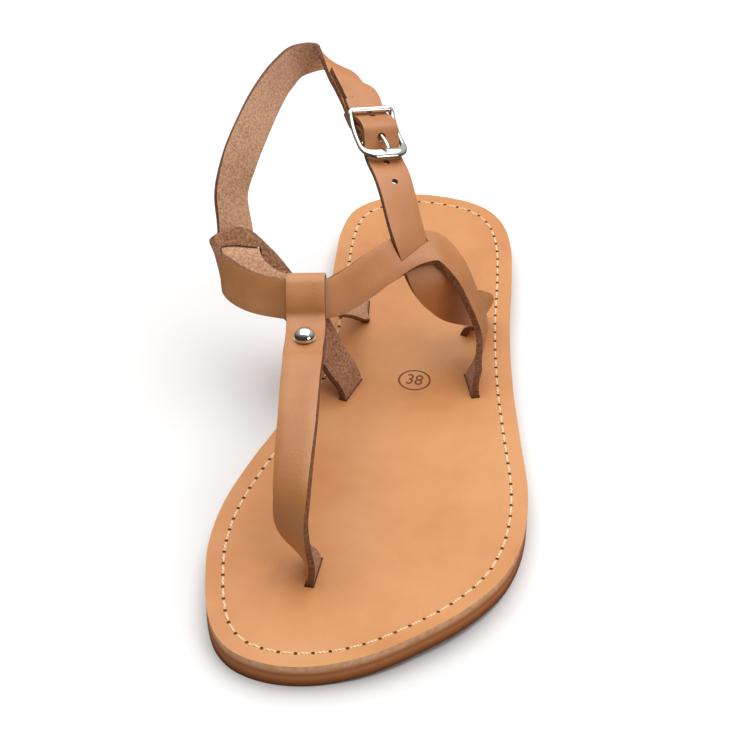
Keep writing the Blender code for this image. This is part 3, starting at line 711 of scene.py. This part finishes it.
FOOTBED_GRAIN = grain_leather(
    "footbed_grain", srgb(196, 126, 68), srgb(206, 139, 79), srgb(213, 149, 91), 0.5, 0.6)
STRAP_GRAIN = grain_leather(
    "strap_grain", srgb(174, 105, 47), srgb(188, 120, 59), srgb(198, 133, 74), 0.5, 0.9)
INSTEP_FLESH = flesh_leather("instep_flesh", srgb(118, 72, 46), srgb(164, 112, 78), srgb(198, 152, 118))
ANKLE_FLESH = flesh_leather("ankle_flesh", srgb(156, 108, 78), srgb(196, 149, 115), srgb(216, 174, 144))
CUT_EDGE = edge_leather("cut_edge", srgb(82, 44, 24), srgb(120, 72, 43), srgb(160, 110, 74), 0.7)
# The sole edge's low colour is painted shade at the floor; its worn colour is a worn band with a painted
# highlight in it.
SOLE_EDGE = burnished_edge(
    "sole_edge", srgb(116, 60, 24), srgb(186, 116, 62), srgb(164, 98, 56), srgb(202, 140, 92),
    srgb(222, 176, 138))
SIZE_PRINT = printed_mark("size_print", srgb(108, 50, 20))
# Awl hole walls: cut-leather brown darkened as painted shade inside the holes.
AWL_HOLE_WITH_SHADE = edge_leather("awl_hole_with_shade", srgb(108, 52, 22), srgb(136, 70, 34), srgb(152, 86, 44), 0.8)
THREAD = thread_material("linen_thread")
NICKEL = nickel_material("polished_nickel")


# Modelling helpers


def start_piece(name, add, **sizes):
    """New primitive, alone in the selection, in edit mode."""
    add(**sizes)
    piece = bpy.context.object
    piece.name = name
    piece.data.name = name
    bpy.ops.object.mode_set(mode="EDIT")
    return piece


def end_piece(piece, *finishes):
    """Leaves edit mode and gives the piece its materials."""
    bpy.ops.object.mode_set(mode="OBJECT")
    for finish in finishes:
        piece.data.materials.append(finish)
    return piece


def pick(*pieces):
    """Selects these pieces alone and makes the first the active one."""
    bpy.ops.object.select_all(action="DESELECT")
    for piece in pieces:
        piece.select_set(True)
    bpy.context.view_layer.objects.active = pieces[0]


def on_whole(step, **values):
    """Takes one mesh step on the whole of the active piece."""
    bpy.ops.object.mode_set(mode="EDIT")
    bpy.ops.mesh.select_all(action="SELECT")
    step(**values)
    bpy.ops.object.mode_set(mode="OBJECT")


def repaint(piece, finish):
    """Gives the piece one material in place of those that it has."""
    piece.data.materials.clear()
    piece.data.materials.append(finish)


def hand_over(piece, node):
    """Puts a finished piece in place of a node of the frame."""
    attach(piece, "root")
    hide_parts(node)


def select_vertices(piece, test):
    """Selects the vertices of the piece in edit mode whose place passes a test."""
    bpy.ops.mesh.select_mode(type="VERT")
    bpy.ops.mesh.select_all(action="DESELECT")
    mesh = bmesh.from_edit_mesh(piece.data)
    for vertex in mesh.verts:
        if test(vertex.co):
            vertex.select_set(True)
    bmesh.update_edit_mesh(piece.data)


def turn_selected(turn, centre):
    """Turns the selection by a rotation about a point, one axis at a time."""
    for axis, angle in zip("XYZ", turn.to_euler("XYZ")):
        bpy.ops.transform.rotate(
            value=-angle, orient_axis=axis, orient_type="GLOBAL", center_override=centre)


def apply_modifier(piece, kind, **values):
    """Adds a modifier with its values and applies it."""
    bpy.context.view_layer.objects.active = piece
    step = piece.modifiers.new(kind.title(), kind)
    for key, value in values.items():
        setattr(step, key, value)
    bpy.ops.object.modifier_apply(modifier=step.name)


def cut_with(piece, cutter):
    """Cuts a piece with a cutter that is then deleted; the cut faces keep the cutter's material."""
    apply_modifier(
        piece, "BOOLEAN", operation="DIFFERENCE", solver="MANIFOLD", object=cutter, material_mode="TRANSFER")
    bpy.data.objects.remove(cutter, do_unlink=True)


def close_cuts(piece):
    """Splits a piece's faces into triangles and drops the flaps at its cuts, which closes its skin."""
    pick(piece)
    bpy.ops.object.mode_set(mode="EDIT")
    bpy.ops.mesh.select_mode(type="EDGE")
    bpy.ops.mesh.select_all(action="SELECT")
    bpy.ops.mesh.quads_convert_to_tris(quad_method="FIXED", ngon_method="BEAUTY")
    bpy.ops.mesh.select_all(action="DESELECT")
    bpy.ops.mesh.select_non_manifold(use_multi_face=False, use_non_contiguous=False, use_verts=False)
    bpy.ops.mesh.delete(type="EDGE")
    bpy.ops.object.mode_set(mode="OBJECT")


def smooth(piece, degrees=SMOOTH_ANGLE):
    """Smooth shading, with edges that turn more than the angle left sharp."""
    pick(piece)
    bpy.ops.object.shade_smooth_by_angle(angle=math.radians(degrees))


def join(pieces, name):
    """One piece from several, with its place in its mesh."""
    pick(*pieces)
    bpy.ops.object.join()
    joined = bpy.context.object
    joined.name = name
    joined.data.name = name
    bpy.ops.object.transform_apply(location=True, rotation=True, scale=True)
    return joined


def drill(middle, axis, radius, length, sides):
    """Round cutter along an axis."""
    bpy.ops.mesh.primitive_cylinder_add(
        vertices=sides, radius=radius * MM, depth=length * MM, location=middle * MM,
        rotation=axis.to_track_quat("Z", "Y").to_euler())
    cutter = bpy.context.object
    bpy.ops.object.transform_apply(location=True, rotation=True, scale=True)
    cutter.data.materials.append(CUT_EDGE)
    return cutter


# Sole


def rise(x, y):
    """Toe spring: the sole lifts off the floor past a line across the toes, turned to the lateral side."""
    reach = -y * math.cos(SPRING_TURN) + x * math.sin(SPRING_TURN)
    return TOE_SPRING * max(0.0, (reach - SPRING_START) / SPRING_RUN) ** 2


def sole_outline():
    """Points round the sole, up its lateral side and back down its medial side, denser at the ends."""
    half = SOLE_LENGTH / 2
    knots = [math.acos(-row.y / half) for row in SOLE_ROWS]
    places = smooth_through(knots, knots, EDGE_SAMPLES)
    medial = smooth_through([float(row.medial) for row in SOLE_ROWS], knots, EDGE_SAMPLES)
    lateral = smooth_through([float(row.lateral) for row in SOLE_ROWS], knots, EDGE_SAMPLES)
    angles = [math.pi * i / OUTLINE_STATIONS for i in range(OUTLINE_STATIONS + 1)]
    outline = [Vector((value_at(places, lateral, a), -half * math.cos(a))) for a in angles]
    outline += [Vector((value_at(places, medial, a), -half * math.cos(a))) for a in angles[-2:0:-1]]
    return outline


def inset_ring(points, inset):
    """Closed outline moved inwards."""
    moved = []
    for i, point in enumerate(points):
        along = points[(i + 1) % len(points)] - points[i - 1]
        inward = Vector((-along.y, along.x)).normalized()
        moved.append(point + inward * inset)
    return moved


def move_vertices(piece, target):
    """Moves each vertex, one at a time, to the place that a function of (index, place) gives."""
    mesh = bmesh.from_edit_mesh(piece.data)
    mesh.verts.ensure_lookup_table()
    bpy.ops.mesh.select_mode(type="VERT")
    for i in range(len(mesh.verts)):
        place = mesh.verts[i].co
        move = target(i, place) - place
        if move.length > 0:
            bpy.ops.mesh.select_all(action="DESELECT")
            mesh.verts[i].select_set(True)
            bpy.ops.transform.translate(value=move)


def sole_layer(name, bottom, thickness, top_round, low_round, finishes):
    """Layer cut round the outline, drawn up to its thickness, with soft edges and the toe lifted."""
    outline = sole_outline()
    layer = start_piece(name, bpy.ops.mesh.primitive_circle_add, vertices=len(outline),
                        radius=BLANK_RADIUS * MM, fill_type="NOTHING")
    move_vertices(layer, lambda i, place: Vector((outline[i].x, outline[i].y, bottom)) * MM)
    bpy.ops.mesh.select_all(action="SELECT")
    bpy.ops.mesh.edge_face_add()
    bpy.ops.mesh.extrude_region_move(TRANSFORM_OT_translate={"value": (0, 0, thickness * MM)})
    bpy.ops.mesh.select_all(action="SELECT")
    bpy.ops.mesh.normals_make_consistent(inside=False)
    for height, width in ((bottom + thickness, top_round), (bottom, low_round)):
        if width > 0:
            select_vertices(layer, lambda place: abs(place.z - height * MM) < SAME_HEIGHT * MM)
            bpy.ops.mesh.bevel(offset=width * MM, segments=EDGE_SEGMENTS, affect="EDGES")
    way = Vector((math.sin(SPRING_TURN), -math.cos(SPRING_TURN), 0))
    for k in range(SPRING_LINES):
        reach = (SPRING_START + SPRING_PITCH * k) * MM
        bpy.ops.mesh.select_all(action="SELECT")
        bpy.ops.mesh.bisect(plane_co=way * reach, plane_no=way)
    move_vertices(layer, lambda i, place: place + Vector((0, 0, rise(place.x / MM, place.y / MM) * MM)))
    end_piece(layer, *finishes)
    heights = layer.data.attributes.new(WALL_HEIGHT, "FLOAT", "POINT")
    for corner in layer.data.vertices:
        x, y, z = corner.co / MM
        heights.data[corner.index].value = (z - rise(x, y)) / FOOTBED_TOP
    for face in layer.data.polygons:
        face.material_index = 0 if face.normal.z > TOP_FACING else 1
    return layer


def slot_cutter(slot):
    """Upright block with the strap's section and its clearance."""
    bpy.ops.mesh.primitive_cube_add(size=1, location=Vector((slot.x, slot.y, FOOTBED_BOTTOM)) * MM)
    cutter = bpy.context.object
    spare = 2 * SLOT_CLEARANCE
    cutter.scale = Vector((STRAP_WIDTH + spare, slot.thick + spare, SLOT_CUT_HEIGHT)) * MM
    cutter.rotation_euler.z = math.radians(slot.turn)
    bpy.ops.object.transform_apply(location=True, rotation=True, scale=True)
    cutter.data.materials.append(CUT_EDGE)
    return cutter


def stitch_places():
    """Ends of the stitches, evenly spaced on a line inside the edge."""
    line = inset_ring(sole_outline(), STITCH_INSET)
    steps = [(line[(i + 1) % len(line)] - line[i]).length for i in range(len(line))]
    total = sum(steps)
    count = round(total / STITCH_PITCH)
    places = []
    walked = 0.0
    i = 0
    for k in range(count):
        goal = total * k / count
        while walked + steps[i] < goal:
            walked += steps[i]
            i += 1
        flat = line[i].lerp(line[(i + 1) % len(line)], (goal - walked) / steps[i])
        places.append(Vector((flat.x, flat.y, FOOTBED_TOP + rise(flat.x, flat.y))))
    return places


def make_footbed():
    footbed = sole_layer(
        "footbed_layer", OUTSOLE_THICKNESS, FOOTBED_TOP - OUTSOLE_THICKNESS, TOP_ROUND, 0.0,
        (FOOTBED_GRAIN, SOLE_EDGE))
    for slot in SLOTS:
        cut_with(footbed, slot_cutter(slot))
    # The holes' walls get the awl hole colour, which carries painted shade.
    holes = [drill(place, Vector((0, 0, 1)), AWL_RADIUS, AWL_DEPTH, AWL_SIDES) for place in stitch_places()]
    awl_marks = join(holes, "awl_marks")
    repaint(awl_marks, AWL_HOLE_WITH_SHADE)
    cut_with(footbed, awl_marks)
    smooth(footbed)
    hand_over(footbed, "footbed")


def make_outsole():
    outsole = sole_layer(
        "outsole_layer", 0.0, OUTSOLE_THICKNESS, 0.0, EDGE_ROUND, (SOLE_EDGE, SOLE_EDGE))
    smooth(outsole)
    hand_over(outsole, "outsole")


def make_stitches():
    """Thread: one stitch modelled, then copied from hole to hole."""
    places = stitch_places()
    stitch = start_piece("stitch", bpy.ops.mesh.primitive_uv_sphere_add, segments=STITCH_SEGMENTS,
                         ring_count=STITCH_RINGS, radius=0.5)
    bpy.ops.mesh.select_all(action="SELECT")
    size = Vector((STITCH_WIDTH, STITCH_HEIGHT, STITCH_LENGTH)) * MM
    bpy.ops.transform.resize(value=size)
    end_piece(stitch, THREAD)
    sink = Vector((0, 0, STITCH_SINK * MM))
    copies = []
    for here, after in zip(places, places[1:] + places[:1]):
        copy = stitch.copy()
        copy.data = stitch.data.copy()
        bpy.context.scene.collection.objects.link(copy)
        way = (after - here).normalized()
        side = way.cross(Vector((0, 0, 1))).normalized()
        turn = Matrix((side, way.cross(side), way)).transposed()
        middle = (here + after) * (MM / 2) - sink
        copy.matrix_world = Matrix.Translation(middle) @ turn.to_4x4()
        copies.append(copy)
    bpy.data.objects.remove(stitch, do_unlink=True)
    thread = join(copies, "stitching")
    repaint(thread, THREAD)
    on_whole(bpy.ops.mesh.normals_make_consistent, inside=False)
    bpy.ops.object.shade_smooth()
    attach(thread, "root")


def make_size_mark():
    """Size number and the ring round it, a thin print on the grain."""
    bpy.ops.object.text_add()
    number = bpy.context.object
    number.data.body = MARK_TEXT
    number.data.align_x = "CENTER"
    number.data.align_y = "CENTER"
    number.data.size = MARK_SIZE * MM
    number.data.extrude = MARK_HEIGHT * MM
    number.data.offset = MARK_BOLD * MM
    bpy.ops.object.convert(target="MESH")
    number.scale.x = MARK_NARROW
    number.location = MARK_AT * MM
    bpy.ops.object.transform_apply(location=True, rotation=True, scale=True)
    bpy.ops.mesh.primitive_torus_add(
        major_segments=MARK_RING_STEPS, minor_segments=MARK_RING_SIDES, major_radius=MARK_RING * MM,
        minor_radius=MARK_LINE * MM, location=MARK_AT * MM)
    ring = bpy.context.object
    ring.scale.z = MARK_HEIGHT / MARK_LINE
    bpy.ops.object.transform_apply(location=True, rotation=True, scale=True)
    mark = join([number, ring], "size_mark")
    repaint(mark, SIZE_PRINT)
    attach(mark, "root")


# Straps


def frame_of(station):
    """Rotation from the flat strap, across X and along Y, to a station."""
    return Matrix((station.across, station.along, station.across.cross(station.along))).transposed()


def lay_strap(name, stations, thickness, grain_side, flesh, spare=0.0):
    """Strap drawn out from one row of edges, station by station, then made thick.

    Its grain is on the stations' face for a grain_side of 1 and behind it for -1; spare widens it all round.
    """
    strap = start_piece(name, bpy.ops.mesh.primitive_grid_add, x_subdivisions=STRAP_COLUMNS,
                        y_subdivisions=1, size=1)
    select_vertices(strap, lambda place: place.y > 0)
    bpy.ops.mesh.delete(type="VERT")
    bpy.ops.mesh.select_all(action="SELECT")
    bpy.ops.transform.translate(value=(0, 0.5, 0))
    first = stations[0]
    wide = (first.width + 2 * spare) * MM
    bpy.ops.transform.resize(value=(wide, wide, wide), center_override=(0, 0, 0))
    turn_selected(frame_of(first), (0, 0, 0))
    bpy.ops.transform.translate(value=first.middle * MM)
    bpy.ops.mesh.select_mode(type="EDGE")
    bpy.ops.mesh.select_all(action="SELECT")
    for before, here in zip(stations, stations[1:]):
        step = (here.middle - before.middle) * MM
        bpy.ops.mesh.extrude_region_move(TRANSFORM_OT_translate={"value": step})
        turn_selected(frame_of(here) @ frame_of(before).inverted(), here.middle * MM)
        if here.width != before.width:
            grow = (here.width + 2 * spare) / (before.width + 2 * spare)
            bpy.ops.transform.resize(value=(grow, grow, grow), center_override=here.middle * MM)
    end_piece(strap, STRAP_GRAIN, flesh, CUT_EDGE)
    if strap.data.polygons[0].normal.dot(stations[0].face) * grain_side < 0:
        on_whole(bpy.ops.mesh.flip_normals)
    thin = strap.vertex_groups.new(name="thickness")
    for i in range(len(strap.data.vertices)):
        thin.add([i], stations[i // (STRAP_COLUMNS + 1)].share, "REPLACE")
    apply_modifier(
        strap, "SOLIDIFY", thickness=(thickness + 2 * spare) * MM, offset=0, use_even_offset=True,
        vertex_group="thickness", material_offset=1, material_offset_rim=2)
    return strap


def soften(strap):
    """Rounds the strap's cut edges a little."""
    apply_modifier(strap, "BEVEL", width=EDGE_SOFT * MM, segments=SOFT_SEGMENTS, limit_method="ANGLE",
                   angle_limit=math.radians(SOFT_FROM_ANGLE))
    smooth(strap)


def slit_cutter(stations, row, clearance):
    """Short run of a strap with its clearance, cut edges all over."""
    near = stations[row * STRAP_STEPS - SLIT_REACH:row * STRAP_STEPS + SLIT_REACH + 1]
    cutter = lay_strap("slit", near, ANKLE_THICKNESS, 1, CUT_EDGE, clearance)
    repaint(cutter, CUT_EDGE)
    return cutter


def make_straps():
    """The four straps; returns the toe strap's stations, for its rivet."""
    instep = stations_of(course_of(INSTEP_ROWS))
    toe = stations_of(course_of(TOE_ROWS), toe_loop_course(instep), course_of(TOE_END_ROWS))
    ankle = stations_of(course_of(ANKLE_ROWS), buckle_course(ANKLE_BUCKLE_ROWS))
    holed = stations_of(course_of(HOLED_ROWS), buckle_course(HOLED_BUCKLE_ROWS), tail_course(ankle))

    instep_strap = lay_strap("instep_strap", instep, STRAP_THICKNESS, -1, INSTEP_FLESH)
    soften(instep_strap)
    cut_with(instep_strap, slit_cutter(ankle, ANKLE_SLIT_ROW, OPEN_SLIT_CLEARANCE))
    cut_with(instep_strap, slit_cutter(holed, HOLED_SLIT_ROW, SLIT_CLEARANCE))
    close_cuts(instep_strap)
    smooth(instep_strap)
    hand_over(instep_strap, "upper")

    toe_strap = lay_strap("toe_strap", toe, STRAP_THICKNESS, 1, INSTEP_FLESH)
    soften(toe_strap)
    hand_over(toe_strap, "upper")

    ankle_strap = lay_strap("ankle_strap_leather", ankle, ANKLE_THICKNESS, -1, ANKLE_FLESH)
    soften(ankle_strap)
    hand_over(ankle_strap, "ankle_strap")

    holed_strap = lay_strap("holed_strap_leather", holed, ANKLE_THICKNESS, 1, ANKLE_FLESH)
    soften(holed_strap)
    for count in PUNCH_COUNTS:
        at = station_up(holed, PRONG_HOLE_UP + PUNCH_PITCH * count)
        radius = PUNCH_RADIUS if count else PRONG_HOLE_RADIUS
        cut_with(holed_strap, drill(at.middle, at.face, radius, PUNCH_LENGTH, PUNCH_SIDES))
    close_cuts(holed_strap)
    smooth(holed_strap)
    hand_over(holed_strap, "ankle_strap_holed")
    return toe


# Metal

# Oval section of a rod or a rivet: its middle and its two half axes
Ring = namedtuple("Ring", "middle first second")


def tube_rings(points, side, radii, closed=False):
    """Oval sections along points; radii are (along the side vector, square to it)."""
    rings = []
    count = len(points)
    for i, point in enumerate(points):
        if closed:
            along = points[(i + 1) % count] - points[i - 1]
        else:
            along = points[min(i + 1, count - 1)] - points[max(i - 1, 0)]
        along.normalize()
        first = (side - along * side.dot(along)).normalized()
        high, wide = radii[i]
        rings.append(Ring(point, first * high, along.cross(first) * wide))
    return rings + rings[:1] if closed else rings


def turned_rings(profile, foot, axis):
    """Round sections of (radius, height) pairs on an axis."""
    turn = axis.to_track_quat("Z", "Y").to_matrix()
    first, second = turn.col[0], turn.col[1]
    return [Ring(foot + axis * height, first * radius, second * radius) for radius, height in profile]


def wrap_rings(name, rings, sides):
    """Sheet rolled round a row of rings, then closed along its seam and at its ends."""
    sheet = start_piece(name, bpy.ops.mesh.primitive_grid_add, x_subdivisions=sides,
                        y_subdivisions=len(rings) - 1, size=1)

    def place_on_ring(i, place):
        ring = rings[i // (sides + 1)]
        angle = 2 * math.pi * (i % (sides + 1)) / sides
        return (ring.middle + ring.first * math.cos(angle) + ring.second * math.sin(angle)) * MM

    move_vertices(sheet, place_on_ring)
    bpy.ops.mesh.select_all(action="SELECT")
    bpy.ops.mesh.remove_doubles(threshold=SEAM_REACH * MM)
    bpy.ops.mesh.fill_holes(sides=0)
    bpy.ops.mesh.select_all(action="SELECT")
    bpy.ops.mesh.normals_make_consistent(inside=False)
    return end_piece(sheet, NICKEL)


def finish_metal(piece, node):
    smooth(piece, METAL_SMOOTH_ANGLE)
    hand_over(piece, node)


def frame_outline():
    """Round-cornered frame in the buckle's plane, as (across, up), from the lower lateral corner round."""
    half = BUCKLE_WIDTH / 2 - BAR_RADIUS
    side_places = [share * BUCKLE_REACH for share in SIDE_SHARES]
    corners = [
        (half, -BUCKLE_REACH, LOWER_CORNER, -90, [(half, up) for up in side_places]),
        (half, BUCKLE_REACH, UPPER_CORNER, 0, []),
        (-half, BUCKLE_REACH, UPPER_CORNER, 90, [(-half, up) for up in reversed(side_places)]),
        (-half, -BUCKLE_REACH, LOWER_CORNER, 180, []),
    ]
    outline = []
    for x, y, radius, start, side in corners:
        for k in range(CORNER_STEPS + 1):
            angle = math.radians(start + 90 * k / CORNER_STEPS)
            across = x - math.copysign(radius, x) + radius * math.cos(angle)
            up = y - math.copysign(radius, y) + radius * math.sin(angle)
            outline.append((across, up))
        outline += side
    return outline


def make_buckle_frame():
    """Arched frame with its sunk centre bar and broad lower bar."""
    points = []
    radii = []
    for across, up in frame_outline():
        sink = CENTRE_BAR_SINK * (1 - (up / BUCKLE_REACH) ** 2)
        points.append(on_buckle(across, up, -sink))
        low = max(0.0, -up / BUCKLE_REACH) ** LOWER_SWELL
        high = max(0.0, up / BUCKLE_REACH) ** UPPER_SWELL
        radius = BAR_RADIUS + (UPPER_BAR_RADIUS - BAR_RADIUS) * high
        radii.append((radius, radius + (LOWER_BAR_WIDTH - BAR_RADIUS) * low))
    loop = wrap_rings("buckle_loop", tube_rings(points, BUCKLE_OUT, radii, closed=True), ROD_SIDES)
    half = BUCKLE_WIDTH / 2 - BAR_RADIUS
    ends = [on_buckle(-half, 0, -CENTRE_BAR_SINK), on_buckle(half, 0, -CENTRE_BAR_SINK)]
    bar_size = (CENTRE_BAR_RADIUS, CENTRE_BAR_RADIUS)
    bar = wrap_rings("centre_bar", tube_rings(ends, BUCKLE_OUT, [bar_size, bar_size]), ROD_SIDES)
    finish_metal(join([loop, bar], "buckle_bars"), "buckle_frame")


def make_prong():
    """Hook round the centre bar, then the prong down to its tip on the lower bar."""
    path = []
    for k in range(PRONG_STEPS + 1):
        angle = math.radians(PRONG_HOOK_FROM + (PRONG_HOOK_TO - PRONG_HOOK_FROM) * k / PRONG_STEPS)
        up = PRONG_HOOK * math.cos(angle)
        off = PRONG_HOOK * math.sin(angle) - CENTRE_BAR_SINK
        path.append(on_buckle(0, up, off))
    path += [on_buckle(0, row.up, row.off) for row in PRONG_ROWS]
    thick = [(PRONG_RADIUS, PRONG_RADIUS)] * (len(path) - 1) + [(PRONG_TIP_RADIUS, PRONG_TIP_RADIUS)]
    finish_metal(wrap_rings("prong", tube_rings(path, BUCKLE_ACROSS, thick), ROD_SIDES), "buckle_prong")


def make_toe_rivet(toe):
    """Back plate, shank and domed cap through the toe strap."""
    at = toe[TOE_RIVET_ROW * STRAP_STEPS]
    seat = at.share * STRAP_THICKNESS / 2 + SEAT_GAP
    profile = [(TOE_BACK_RADIUS, -seat - TOE_BACK_HEIGHT), (TOE_BACK_RADIUS, -seat)]
    profile += [(TOE_SHANK_RADIUS, -seat), (TOE_SHANK_RADIUS, seat)]
    profile += [(TOE_RIM_RADIUS, seat), (TOE_RIM_RADIUS, seat + TOE_RIM_HEIGHT)]
    for k in range(DOME_STEPS + 1):
        angle = math.radians(DOME_TOP_ANGLE) * k / DOME_STEPS
        height = seat + TOE_RIM_HEIGHT + TOE_CAP_HEIGHT * math.sin(angle)
        profile.append((TOE_CAP_RADIUS * math.cos(angle), height))
    stud = wrap_rings("toe_stud", turned_rings(profile, at.middle, at.face), RIVET_SIDES)
    finish_metal(stud, "toe_rivet")


def make_ankle_rivet():
    """Flat cap and shank through the fold at the buckle."""
    soft = ANKLE_CAP_HEIGHT / 2
    profile = [(ANKLE_CAP_RADIUS - soft, -ANKLE_CAP_HEIGHT)]
    profile += [(ANKLE_CAP_RADIUS, -soft), (ANKLE_CAP_RADIUS, 0)]
    profile += [(ANKLE_SHANK_RADIUS, 0), (ANKLE_SHANK_RADIUS, ANKLE_SHANK_HEIGHT)]
    foot = on_buckle(0, ANKLE_RIVET_UP, ANKLE_RIVET_OFF)
    stud = wrap_rings("ankle_stud", turned_rings(profile, foot, BUCKLE_OUT), RIVET_SIDES)
    finish_metal(stud, "ankle_rivet")


# Stage


def lay_floor():
    """Pale floor that the gloss of the leather and the metal doesn't mirror."""
    bpy.ops.mesh.primitive_plane_add(size=FLOOR_SIZE)
    floor = bpy.context.object
    floor.name = "floor"
    floor.visible_glossy = False
    made, tree, shader = new_material("pale_floor")
    set_node(tree, shader, base_color=FLOOR_COLOUR, roughness=FLOOR_ROUGHNESS)
    floor.data.materials.append(made)


def light_studio():
    """Room that brightens towards one direction, and the softboxes."""
    scene = bpy.context.scene
    scene.view_settings.view_transform = "Standard"
    world = bpy.data.worlds.new("studio")
    world.use_nodes = True
    tree = world.node_tree
    background = tree.nodes["Background"]
    background.inputs["Color"].default_value = (1, 1, 1, 1)
    facing = tree.nodes.new("ShaderNodeVectorMath")
    facing.operation = "DOT_PRODUCT"
    tree.links.new(tree.nodes.new("ShaderNodeTexCoord").outputs["Generated"], facing.inputs[0])
    facing.inputs[1].default_value = ROOM_LIGHT
    brightness = spread(tree, facing.outputs["Value"], *ROOM_STRENGTH, ROOM_REACH)
    tree.links.new(brightness, background.inputs["Strength"])
    scene.world = world

    for box in SOFTBOXES:
        lamp = bpy.data.lights.new(box.name, "AREA")
        lamp.shape = "RECTANGLE"
        lamp.size, lamp.size_y = box.size
        lamp.energy = box.power
        softbox = bpy.data.objects.new(box.name, lamp)
        softbox.location = box.place
        softbox.rotation_euler = (Vector(box.aim) - softbox.location).to_track_quat("-Z", "Y").to_euler()
        scene.collection.objects.link(softbox)


def set_camera():
    """Camera at the photo's angle."""
    camera = bpy.data.objects.new("camera", bpy.data.cameras.new("camera"))
    camera.data.sensor_width = SENSOR_WIDTH
    camera.data.lens = CAMERA_FOCUS * ENLARGED * SENSOR_WIDTH / IMAGE_WIDTH
    side, lift = CAMERA_AIM
    look = CAMERA_FORWARD + (CAMERA_RIGHT * side + CAMERA_UP * lift) / CAMERA_FOCUS
    camera.location = CAMERA_AT
    camera.rotation_euler = look.to_track_quat("-Z", "Y").to_euler()
    bpy.context.scene.collection.objects.link(camera)
    bpy.context.scene.camera = camera


make_outsole()
make_footbed()
make_stitches()
make_size_mark()
toe_stations = make_straps()
make_toe_rivet(toe_stations)
make_ankle_rivet()
make_buckle_frame()
make_prong()
lay_floor()
light_studio()
set_camera()
